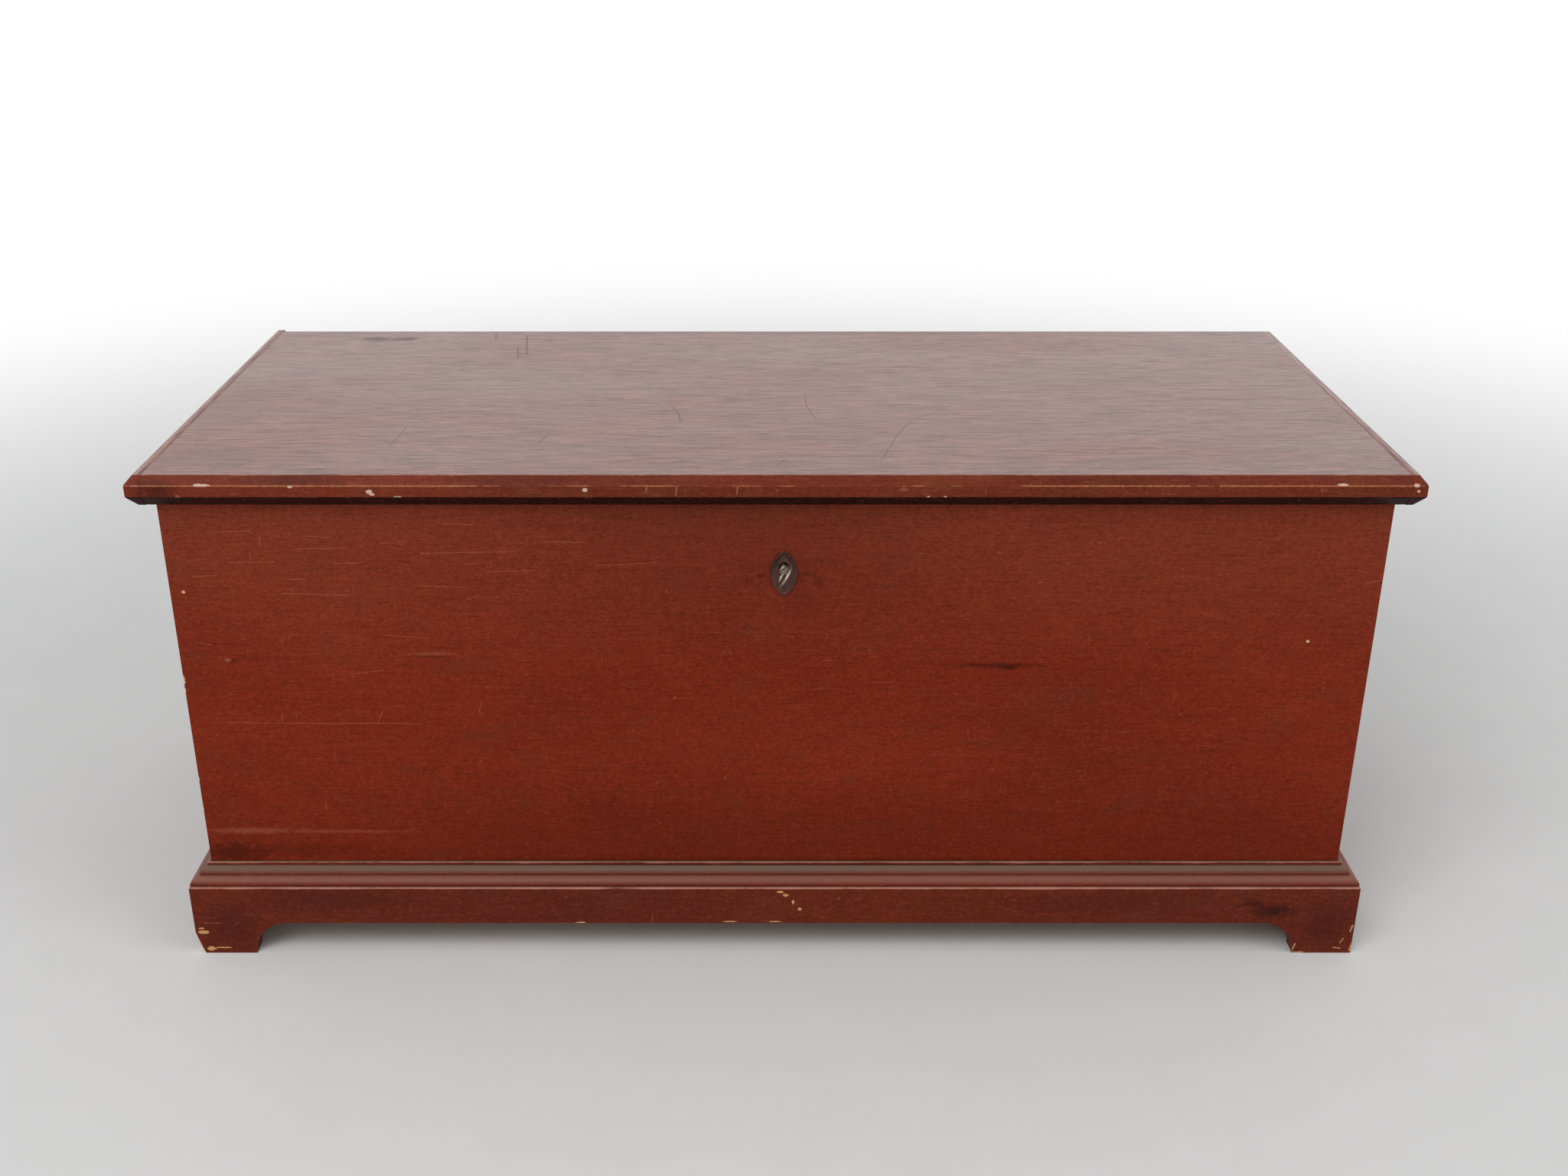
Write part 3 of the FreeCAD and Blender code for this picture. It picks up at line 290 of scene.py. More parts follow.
# ---------------------------------------------------------------- finishes
def oil_paint(name, colour, along=0, wear=(), bare=(), dark=(), pale=(), dust=0.0, gloss=0.42, glint=0.12,
              varnish=0.0, painted_sheen=None, streaky=1.0, worn_hue="#B57F6E", wood=("#B98A4E", "#E2C59A"),
              thin_hue="#63301F", dust_hue="#6E6052"):
    """Old linseed-oil paint, brushed thinly over pine: a deep red-brown that lets the grain through as fine
    streaks, rubbed pale where it was handled, chipped to yellow wood at the edges."""
    made, tree, place = blank(name)
    drawn = drawn_out(tree, place, along)
    # clouds of light and dark paint some 150 mm across, and dabs of 12 mm from the brush
    cloud = noise(tree, drawn_out(tree, place, along, 0.4), 0.007, 5.0)
    dabs = noise(tree, drawn_out(tree, place, along, 0.25), 0.08, 4.0, 0.7)
    # streaks of the grain, 2 mm thick and drawn out along it; the real 0.5 mm would not show
    grain = noise(tree, drawn, 0.5, 6.0, 0.72)
    tone = blend(tree, between(tree, cloud, 0.32, 0.68), scaled(colour, 0.86), scaled(colour, 1.14))
    tone = over(tree, tone, dabs, 0.5, 0.75, 0.35, scaled(colour, 0.7))
    # painted sheen: above a wavy height the paint turns to a lighter brown, painted in for the soft reflection that
    # the top of the front catches
    if painted_sheen:
        low, high, other = painted_sheen
        height = add(tree, "ShaderNodeSeparateXYZ", {0: place}).outputs["Z"]
        wavy = add(tree, "ShaderNodeMath", {0: cloud, 1: 160.0, 2: height}, operation="MULTIPLY_ADD")
        tone = blend(tree, between(tree, wavy, low + 80, high + 80), tone, linear(other))
    tone = over(tree, tone, grain, 0.55, 0.75, 0.4 * streaky, [min(1.0, c * 1.6 + 0.02) for c in colour[:3]] + [1.0])
    tone = over(tree, tone, grain, 0.45, 0.28, 0.6 * streaky, scaled(colour, 0.5))
    # the tooth of the dried brush marks, 2 mm
    tooth = noise(tree, drawn_out(tree, place, along, 0.55), 0.42, 4.0, 0.7)
    tone = over(tree, tone, tooth, 0.5, 0.32, 0.5, scaled(colour, 0.45))
    tone = over(tree, tone, tooth, 0.52, 0.72, 0.22, linear("#A85038"))
    # brown mottling where the paint lies thin, in patches of 40 mm
    thin = noise(tree, drawn_out(tree, place, along, 0.5), 0.025, 6.0, 0.75)
    tone = over(tree, tone, thin, 0.52, 0.7, 0.4, linear(thin_hue))
    # hair scratches 20 mm long, in patches of 90 mm, worn through to the ground coat
    hairs = noise(tree, drawn_out(tree, place, along, 0.05), 0.9, 2.0, 0.4)
    hair_patches = noise(tree, place, 0.011, 3.0)
    rubbed = add(tree, "ShaderNodeMath", {0: between(tree, hairs, 0.66, 0.76, 0.55),
                                          1: between(tree, hair_patches, 0.42, 0.62)}, operation="MULTIPLY")
    tone = blend(tree, rubbed, tone, linear("#A9604A"))
    # short scuffs across the grain, 15 mm long
    across = noise(tree, drawn_out(tree, place, 2 if along != 2 else 0, 0.12), 0.55, 2.0, 0.4)
    tone = over(tree, tone, across, 0.71, 0.78, 0.3, linear("#9E5641"))
    # specks of a millimetre or two, and dark lines 30 mm long
    specks = noise(tree, place, 0.16, 3.0, 0.5)
    tone = over(tree, tone, specks, 0.715, 0.76, 0.45, linear("#A85F49"))
    dark_lines = noise(tree, drawn_out(tree, place, along, 0.045), 0.7, 3.0, 0.55)
    dulled = between(tree, dark_lines, 0.54, 0.68, 0.5 if varnish else 0.25)
    tone = blend(tree, dulled, tone, linear("#2E1D18"))
    if varnish:
        # the varnish is rubbed away in streaks 2 mm wide and 40 mm long
        streaks = noise(tree, drawn_out(tree, place, along, 0.05), 0.48, 6.0, 0.85)
        worn = between(tree, streaks, 0.56, 0.4, 0.8)
        tone = blend(tree, worn, tone, linear("#33241D"))
        dulled = add(tree, "ShaderNodeMath", {0: dulled, 1: worn}, operation="MAXIMUM")
    if dark:
        marks = marked(tree, place, dark)
        tone = blend(tree, marks, tone, scaled(colour, 0.3))
        dulled = add(tree, "ShaderNodeMath", {0: dulled, 1: marks}, operation="MAXIMUM")
    if pale:
        tone = blend(tree, marked(tree, place, pale), tone, linear("#9C5540"))
    if dust:
        # dust lies on what faces up
        facing = add(tree, "ShaderNodeNewGeometry")
        up = add(tree, "ShaderNodeSeparateXYZ", {0: facing.outputs["Normal"]}).outputs["Z"]
        tone = over(tree, tone, up, 0.1, 0.9, dust, linear(dust_hue))
    if wear:
        tone = blend(tree, marked(tree, place, wear), tone, linear(worn_hue))
    height = add(tree, "ShaderNodeMath", {0: grain, 1: 0.5}, operation="MULTIPLY")
    if bare:
        off = marked(tree, place, bare)
        tone = blend(tree, off, tone, blend(tree, grain, *[linear(code) for code in wood]))
        height = add(tree, "ShaderNodeMath", {0: height, 1: off}, operation="SUBTRACT")
    dull = between(tree, cloud, 0.3, 0.7, gloss + 0.09, gloss - 0.05)
    coat = varnish
    if varnish:
        # the varnish is dull where it is scratched
        coat = between(tree, dulled, 0.0, 1.0, 0.0, varnish)
    close(tree, {"Base Color": tone, "Roughness": dull, "IOR": 1.48, "Specular IOR Level": glint,
                 "Coat Weight": coat, "Coat Roughness": 0.32}, height, 0.3, 0.3)
    return made


def bare_pine(name, along=0, fresh="#C7A06B", old="#9A7245", dirt="#5E4630"):
    """Sawn pine that darkened in the air: honey brown, with rings and grey dirt."""
    made, tree, place = blank(name)
    drawn = drawn_out(tree, place, along, 0.04)
    bend = add(tree, "ShaderNodeTexNoise", {"Vector": drawn, "Scale": 0.012, "Detail": 2})
    push = add(tree, "ShaderNodeVectorMath", {0: bend.outputs["Color"], "Scale": 60.0}, operation="SCALE")
    warped = add(tree, "ShaderNodeVectorMath", {0: drawn, 1: push}, operation="ADD")
    # annual rings some 6 mm apart, and pores too fine to show, drawn at 1 mm
    rings = noise(tree, warped, 0.16, 2.0)
    fine = noise(tree, drawn, 1.1, 5.0, 0.7)
    grime_and_shade = noise(tree, drawn_out(tree, place, along, 0.3), 0.009, 6.0, 0.7)
    tone = blend(tree, between(tree, rings, 0.42, 0.62, 0.75), linear(fresh), linear(old))
    tone = over(tree, tone, fine, 0.5, 0.75, 0.5, linear(old))
    tone = over(tree, tone, grime_and_shade, 0.45, 0.8, 0.5, linear(dirt))
    close(tree, {"Base Color": tone, "Roughness": 0.72, "IOR": 1.45, "Specular IOR Level": 0.3}, fine, 0.4, 0.3)
    return made


def aged_metal(name, tone, spots, metallic, rough, rust=0.45):
    """Bare metal that tarnished: its own colour with darker blotches of 6 mm and a surface uneven at 1 mm."""
    made, tree, place = blank(name)
    share = between(tree, noise(tree, place, 0.16, 6.0, 0.65), rust, rust + 0.16)
    metal = between(tree, share, 0.0, 1.0, metallic * 0.5, metallic)
    dull = between(tree, share, 0.0, 1.0, rough + 0.28, rough)
    close(tree, {"Base Color": blend(tree, share, linear(tone), linear(spots)), "Metallic": metal,
                 "Roughness": dull}, noise(tree, place, 1.2), 0.25, 0.12)
    return made


# ---------------------------------------------------------------- pieces
def finish_node(node, *materials):
    """Gives a CAD node its finish and leaves its shape."""
    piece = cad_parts[node]
    piece.data.materials.clear()
    for material in materials:
        piece.data.materials.append(material)


def middle(edge):
    """The middle of an edge, in millimetres."""
    return (edge.verts[0].co + edge.verts[1].co) / 2 / MM


def runs(edge, axis):
    """True where an edge runs along an axis."""
    way = (edge.verts[1].co - edge.verts[0].co).normalized()
    return abs(way[axis]) > 0.999


def round_edges(bm, edges, radius):
    """Rounds edges in three steps."""
    if edges:
        bmesh.ops.bevel(bm, geom=edges, offset=radius, segments=3, profile=0.5, affect="EDGES", clamp_overlap=True)


def merged(node):
    """The solid of a node as one closed mesh with whole faces."""
    bm = bmesh.new()
    bm.from_mesh(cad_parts[node].data)
    bmesh.ops.remove_doubles(bm, verts=bm.verts, dist=WELD)
    bmesh.ops.dissolve_limit(bm, angle_limit=math.radians(0.3), verts=bm.verts, edges=bm.edges)
    return bm


def stand_in(bm, node, body, materials, choose):
    """Stands a mesh in the place of a node. choose(face) numbers the material of each face."""
    bmesh.ops.triangulate(bm, faces=bm.faces, quad_method="BEAUTY", ngon_method="BEAUTY")
    bm.normal_update()
    for face in bm.faces:
        face.smooth = True
        face.material_index = int(choose(face)) if choose else 0
    mesh = bpy.data.meshes.new(node + "_worn")
    bm.to_mesh(mesh)
    bm.free()
    for material in materials:
        mesh.materials.append(material)
    mesh.set_sharp_from_angle(angle=math.radians(38))
    piece = bpy.data.objects.new(node + "_worn", mesh)
    bpy.context.scene.collection.objects.link(piece)
    even = piece.modifiers.new("even_shading", "WEIGHTED_NORMAL")
    even.keep_sharp = True
    even.weight = 80
    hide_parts(node)
    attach(piece, body)
    return piece


def worn_copy(node, body, materials, outer, arris, joint, choose=None, least=30.0, cut=None):
    """A board with its outer edges rounded by wear and its joint edges barely eased. Edges shorter than least, in
    millimetres, stay sharp."""
    bm = merged(node)
    sharp = [e for e in bm.edges if len(e.link_faces) == 2 and e.calc_length() > least * MM
             and e.calc_face_angle() > math.radians(15)]
    worn = [e for e in sharp if outer(e)]
    rest = [e for e in sharp if e not in set(worn)]
    for edges, radius in ((worn, arris), (rest, joint)):
        round_edges(bm, [e for e in edges if e.is_valid], radius)
    if cut:
        cut(bm)
    return stand_in(bm, node, body, materials, choose)


def islands(node):
    """The separate pins of a fastener node, each as its points in millimetres."""
    bm = bmesh.new()
    bm.from_mesh(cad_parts[node].data)
    bmesh.ops.remove_doubles(bm, verts=bm.verts, dist=WELD)
    left, pins = set(bm.verts), []
    while left:
        seed = left.pop()
        queue, pin = [seed], []
        while queue:
            vert = queue.pop()
            pin.append(vert.co / MM)
            for edge in vert.link_edges:
                other = edge.other_vert(vert)
                if other in left:
                    left.discard(other)
                    queue.append(other)
        pins.append(pin)
    bm.free()
    return sorted(pins, key=lambda pin: tuple(round(c, 3) for c in pin[0]))


def head_of(pin):
    """Where the head of a pin lies, which way it faces, its radius and its length."""
    low = [min(p[k] for p in pin) for k in range(3)]
    high = [max(p[k] for p in pin) for k in range(3)]
    axis = max(range(3), key=lambda k: high[k] - low[k])
    length = high[axis] - low[axis]
    others = [k for k in range(3) if k != axis]
    centre = [(low[k] + high[k]) / 2 for k in range(3)]

    def girth(share):
        near = [p for p in pin if abs(p[axis] - (low[axis] + share * length)) < 0.3 * length]
        return max(math.hypot(*(p[k] - centre[k] for k in others)) for p in near) if near else 0

    top = 1 if girth(1) >= girth(0) else 0
    spot, way = Vector(centre), Vector((0, 0, 0))
    spot[axis] = high[axis] if top else low[axis]
    way[axis] = 1 if top else -1
    return spot, way, max(girth(0), girth(1)), length


def pin_tree(name, slotted):
    """Pins on points: a slotted countersunk head or a hammered dome, with a tapered shank behind it."""
    tree, size = group(name, "GeometryNodeTree", {
        "Geometry": "Geometry", "Head radius": "Float", "Head depth": "Float", "Shank radius": "Float",
        "Length": "Float", "Slot width": "Float", "Seed": "Int", "Finish": "Material"}, {"Geometry": "Geometry"})
    below = add(tree, "ShaderNodeMath", {0: size["Head depth"], 1: -1.0}, operation="MULTIPLY")
    if slotted:
        cone = add(tree, "GeometryNodeMeshCone", {"Vertices": 28, "Radius Top": size["Head radius"],
                                                  "Radius Bottom": size["Shank radius"],
                                                  "Depth": size["Head depth"]})
        drop = add(tree, "ShaderNodeCombineXYZ", {"Z": below})
        sunk = add(tree, "GeometryNodeTransform", {"Geometry": cone.outputs["Mesh"], "Translation": drop})
        across = add(tree, "ShaderNodeMath", {0: size["Head radius"], 1: 3.0}, operation="MULTIPLY")
        bar = add(tree, "ShaderNodeCombineXYZ", {"X": across, "Y": size["Slot width"], "Z": size["Head depth"]})
        cutter = add(tree, "GeometryNodeMeshCube", {"Size": bar})
        head = add(tree, "GeometryNodeMeshBoolean", {"Mesh 1": sunk}, operation="DIFFERENCE")
        tree.links.new(cutter.outputs["Mesh"], head.inputs["Mesh 2"])
    else:
        ball = add(tree, "GeometryNodeMeshUVSphere", {"Segments": 16, "Rings": 10, "Radius": size["Head radius"]})
        flat = add(tree, "ShaderNodeMath", {0: size["Head depth"], 1: size["Head radius"]}, operation="DIVIDE")
        squash = add(tree, "ShaderNodeCombineXYZ", {"X": 1.0, "Y": 1.0, "Z": flat})
        drop = add(tree, "ShaderNodeCombineXYZ", {"Z": below})
        head = add(tree, "GeometryNodeTransform", {"Geometry": ball.outputs["Mesh"], "Scale": squash,
                                                   "Translation": drop})
    tip = add(tree, "ShaderNodeMath", {0: size["Shank radius"], 1: 0.3}, operation="MULTIPLY")
    deep = add(tree, "ShaderNodeMath", {0: size["Length"], 1: size["Head depth"]}, operation="SUBTRACT")
    shank = add(tree, "GeometryNodeMeshCone", {"Vertices": 12, "Radius Top": size["Shank radius"],
                                               "Radius Bottom": tip, "Depth": deep})
    foot = add(tree, "ShaderNodeMath", {0: size["Length"], 1: -1.0}, operation="MULTIPLY")
    hung = add(tree, "GeometryNodeTransform", {
        "Geometry": shank.outputs["Mesh"], "Translation": add(tree, "ShaderNodeCombineXYZ", {"Z": foot})})
    pin = add(tree, "GeometryNodeJoinGeometry")
    tree.links.new(hung.outputs[0], pin.inputs[0])
    tree.links.new(head.outputs[0], pin.inputs[0])
    way = add(tree, "GeometryNodeInputNamedAttribute", {"Name": "way"}, data_type="FLOAT_VECTOR")
    facing = add(tree, "FunctionNodeAlignRotationToVector", {"Vector": way.outputs["Attribute"]}, axis="Z")
    spin = add(tree, "FunctionNodeRandomValue", {"Min": Vector((-0.04, -0.04, 0)),
                                                 "Max": Vector((0.04, 0.04, 6.28)), "Seed": size["Seed"]},
               data_type="FLOAT_VECTOR")
    turn = add(tree, "FunctionNodeEulerToRotation", {0: spin})
    both = add(tree, "FunctionNodeRotateRotation", {"Rotation": facing, "Rotate By": turn},
               rotation_space="LOCAL")
    spread = add(tree, "GeometryNodeInstanceOnPoints", {"Points": size["Geometry"], "Instance": pin,
                                                        "Rotation": both})
    solid = add(tree, "GeometryNodeRealizeInstances", {"Geometry": spread})
    dressed = add(tree, "GeometryNodeSetMaterial", {"Geometry": solid, "Material": size["Finish"]})
    add(tree, "NodeGroupOutput", {"Geometry": dressed})
    return tree


def pins(node, body, tree, finish, seed, slot_width, depth_share, slot):
    """Replaces a fastener node by the pins that a tree sets on its places."""
    heads = [head_of(pin) for pin in islands(node)]
    radius, length = heads[0][2], min(head[3] for head in heads)
    points = bpy.data.meshes.new(node + "_points")
    points.from_pydata([head[0] * MM for head in heads], [], [])
    ways = points.attributes.new("way", "FLOAT_VECTOR", "POINT")
    for at, head in zip(ways.data, heads):
        at.vector = head[1]
    piece = bpy.data.objects.new(node + "_set", points)
    bpy.context.scene.collection.objects.link(piece)
    maker = piece.modifiers.new("pins", "NODES")
    maker.node_group = tree
    chosen = {"Head radius": radius * MM, "Head depth": radius * depth_share * MM,
              "Shank radius": radius * 0.52 * MM, "Length": length * MM, "Slot width": slot_width, "Seed": seed,
              "Finish": finish}
    for item in tree.interface.items_tree:
        if item.in_out == "INPUT" and item.name in chosen:
            maker[item.identifier] = chosen[item.name]
    mesh = bpy.data.meshes.new_from_object(piece.evaluated_get(bpy.context.evaluated_depsgraph_get()))
    piece.modifiers.clear()
    piece.data = mesh
    if not mesh.polygons:
        raise RuntimeError("no pins were made for " + node)
    mesh.set_sharp_from_angle(angle=math.radians(35))
    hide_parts(node)
    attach(piece, body)


def loft(bm, rings, closed=True):
    """Skins a list of rings of points, in millimetres. closed joins the last ring to the first."""
    rows = [[bm.verts.new(Vector(p) * MM) for p in ring] for ring in rings]
    pairs = list(zip(rows, rows[1:])) + ([(rows[-1], rows[0])] if closed else [])
    for one, two in pairs:
        count = len(one)
        for i in range(count):
            bm.faces.new((one[i], one[(i + 1) % count], two[(i + 1) % count], two[i]))
    return rows


def new_piece(bm, name, node, body, material, sharp=35):
    """Stands a mesh made from scratch in the place of a node."""
    bmesh.ops.recalc_face_normals(bm, faces=bm.faces)
    for face in bm.faces:
        face.smooth = True
    mesh = bpy.data.meshes.new(name)
    bm.to_mesh(mesh)
    bm.free()
    mesh.materials.append(material)
    mesh.set_sharp_from_angle(angle=math.radians(sharp))
    piece = bpy.data.objects.new(name, mesh)
    bpy.context.scene.collection.objects.link(piece)
    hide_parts(node)
    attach(piece, body)


class ChestOperator:
    """What the operators share."""
    bl_options = {"REGISTER", "UNDO"}

    @property
    def sizes(self):
        return bpy.context.scene.chest_sizes

    @property
    def colours(self):
        return bpy.context.scene.chest_colours


class CHEST_OT_stage(ChestOperator, bpy.types.Operator):
    """Pale floor, soft light all round, two broad lamps and the camera"""
    bl_idname = "chest.stage"
    bl_label = "Stage"

    def execute(self, context):
        scene = context.scene
        scene.view_settings.view_transform = "Standard"
        reach = 30.0
        mesh = bpy.data.meshes.new("floor")
        mesh.from_pydata([(-reach, -reach, 0), (reach, -reach, 0), (reach, reach, 0), (-reach, reach, 0)], [],
                         [(0, 1, 2, 3)])
        floor = bpy.data.objects.new("floor", mesh)
        scene.collection.objects.link(floor)
        # matt studio floor, pale grey near the chest and white far off for rays that only look at it
        pale, tree, place = blank("matt_floor_paint")
        mottle = noise(tree, place, 0.01, 3.0)
        matt = add(tree, "ShaderNodeBsdfPrincipled", {
            "Base Color": blend(tree, mottle, linear("#D2D3D3"), linear("#D8D8D8")), "Roughness": 0.9,
            "Specular IOR Level": 0.15})
        seen = self.looked_at(tree)
        off = add(tree, "ShaderNodeVectorMath", {0: place}, operation="LENGTH").outputs["Value"]
        far = between(tree, off, 1100.0, 3200.0, soft=True)
        share = add(tree, "ShaderNodeMath", {0: far, 1: seen}, operation="MULTIPLY")
        white = add(tree, "ShaderNodeEmission", {"Color": linear("#FFFFFF"), "Strength": 1.0})
        mixed = add(tree, "ShaderNodeMixShader", {0: share, 1: matt, 2: white})
        add(tree, "ShaderNodeOutputMaterial", {"Surface": mixed})
        mesh.materials.append(pale)

        world = bpy.data.worlds.new("studio")
        scene.world = world
        world.use_nodes = True
        tree = world.node_tree
        tree.nodes.clear()
        lamp = add(tree, "ShaderNodeBackground", {"Color": linear("#FFFFFF"), "Strength": 0.62})
        wall = add(tree, "ShaderNodeBackground", {"Color": linear("#FFFFFF"), "Strength": 1.0})
        mixed = add(tree, "ShaderNodeMixShader", {0: self.looked_at(tree), 1: lamp, 2: wall})
        add(tree, "ShaderNodeOutputWorld", {"Surface": mixed})

        # both lamps look at the middle of the chest; size in metres, power in watts
        aim = Vector((0, 0, 0.3))
        for name, place, size, power in (("key_lamp", (-1.6, -2.6, 3.4), 2.2, 75),
                                         ("fill_lamp", (2.6, -1.4, 2.6), 2.0, 24)):
            data = bpy.data.lights.new(name, "AREA")
            data.size, data.energy = size, power
            lamp = bpy.data.objects.new(name, data)
            lamp.location = place
            lamp.rotation_euler = (aim - Vector(place)).to_track_quat("-Z", "Y").to_euler()
            scene.collection.objects.link(lamp)

        data = bpy.data.cameras.new("camera")
        data.sensor_width, data.lens = 36.0, 38.6
        data.shift_x = 0.0128
        camera = bpy.data.objects.new("camera", data)
        camera.location = (-11.6 * MM, -1793.1 * MM, 1106.5 * MM)
        camera.rotation_euler = (math.radians(66.325), 0, 0)
        scene.collection.objects.link(camera)
        scene.camera = camera
        return {"FINISHED"}

    @staticmethod
    def looked_at(tree):
        """1 for the rays that only look: from the camera, a reflection or glass."""
        ray = add(tree, "ShaderNodeLightPath")
        top = ray.outputs["Is Camera Ray"]
        for name in ("Is Glossy Ray", "Is Transmission Ray"):
            top = add(tree, "ShaderNodeMath", {0: top, 1: ray.outputs[name]}, operation="MAXIMUM")
        return top


class CHEST_OT_case(ChestOperator, bpy.types.Operator):
    """The four dovetailed walls, painted outside and bare inside"""
    bl_idname = "chest.case"
    bl_label = "Case walls"

    def execute(self, context):
        colour, y = list(self.colours.paint), FRONT
        corners = [edge_wear(2, (sign * SIDE, y, 0), 1.6, 0.50) for sign in (-1, 1)]
        # the front turns lighter and browner towards its top: painted sheen
        front = oil_paint(
            "oil_paint_front", colour, 0, wear=corners, painted_sheen=(330, 560, "#7D3724"), glint=0.07,
            bare=spot_rows(chip, y, (
                (-611, 324, 3.2, 6, 7), (-611, 312, 2.4, 5, 4), (-610.5, 207, 1.8, 4, 3), (-611, 170, 1.8, 4, 3),
                (-596, 423, 2, 3, 1.6), (543, 368, 2, 3, 1.6), (611, 290, 1.6, 4, 5), (611, 236, 1.4, 4, 3))),
            dark=spot_rows(soft_cloud, y, (
                (-556, 346, 9, 9, 5, 0.6), (-530, 348, 48, 9, 4, 0.25), (238, 339, 18, 9, 5, 0.9),
                (225, 341, 75, 9, 4, 0.7), (-353, 351, 40, 9, 3, 0.4), (-92, 166, 95, 9, 10, 0.2),
                (-585, 116, 70, 9, 20, 0.75), (-500, 118, 150, 9, 18, 0.45), (0, 103, 760, 9, 10, 0.6),
                (0, 128, 900, 9, 26, 0.3), (0, 105, 1700, 9, 140, 0.28), (-40, 480, 300, 9, 130, 0.27),
                # the four clouds beside and below the keyhole are painted shadows of the key
                (-14, 441, 12, 9, 7, 0.6), (-27, 433, 12, 9, 8, 0.5), (33, 443, 14, 9, 6, 0.65),
                (45, 433, 11, 9, 9, 0.5))),
            pale=spot_rows(soft_cloud, y, (
                (-561, 347, 5, 9, 3, 0.7), (-353, 354, 34, 9, 3, 0.35), (-560, 143, 70, 9, 5, 0.42),
                (-470, 142, 110, 9, 3, 0.3)))
            + scratch_rows(y, (
                (594.6, 433, 613.8, 436.6, 1.2), (-587, 366, -575, 364, 1.0), (-354, 465, -261, 467.4, 1.0),
                (-441, 454, -415, 454.8, 1.1), (-498, 421.5, -429, 419.5, 1.0), (-398, 375, -354, 371.5, 0.8),
                (-437, 331, -402, 335, 0.9), (-571, 274, -369, 273, 0.8), (-308, 286, -304, 299, 1.0),
                (-414, 273, -408, 287.5, 1.0), (-489, 437, -473, 437.2, 0.9), (-512, 482, -513, 473, 1.0),
                (-560, 488, -520, 489.5, 0.8), (-470, 484, -440, 482, 0.8), (-392, 476, -368, 477, 0.9),
                (-330, 497, -300, 496, 0.8), (-545, 455, -500, 456, 0.8), (-480, 470, -430, 471, 0.9),
                (-290, 445, -240, 447, 0.8), (-360, 430, -310, 428, 0.7), (-180, 452, -120, 455, 0.7),
                (-230, 478, -190, 477, 0.8), (-585, 440, -560, 441, 0.9))))
        ends = oil_paint("oil_paint_ends", colour, 1, glint=0.07, wear=[
            edge_wear(2, (sign * SIDE, at, 0), 1.6, 0.50) for sign in (-1, 1) for at in (FRONT, BACK)])
        back = oil_paint("oil_paint_back", colour, 0, glint=0.07)
        walls, end_walls = bare_pine("bare_pine_walls", 0), bare_pine("bare_pine_ends", 1)
        arris, joint = self.sizes.arris, self.sizes.joint

        def corner(edge):
            spot = middle(edge)
            return runs(edge, 2) and abs(spot.x) > SIDE - 0.2 and (spot.y < FRONT + 0.2 or spot.y > BACK - 0.2)

        worn_copy("front_board", "case", [front, walls], corner, arris, joint,
                  lambda f: f.normal.y > 0.5 or f.normal.z > 0.5)
        worn_copy("back_board", "case", [back, walls], corner, arris, joint,
                  lambda f: f.normal.y < -0.5 or f.normal.z > 0.5)
        for name, sign in (("left_end_board", -1), ("right_end_board", 1)):
            worn_copy(name, "case", [ends, end_walls], corner, arris, joint,
                      lambda f, s=sign: f.normal.x * s < -0.5 or f.normal.z > 0.5)
        return {"FINISHED"}


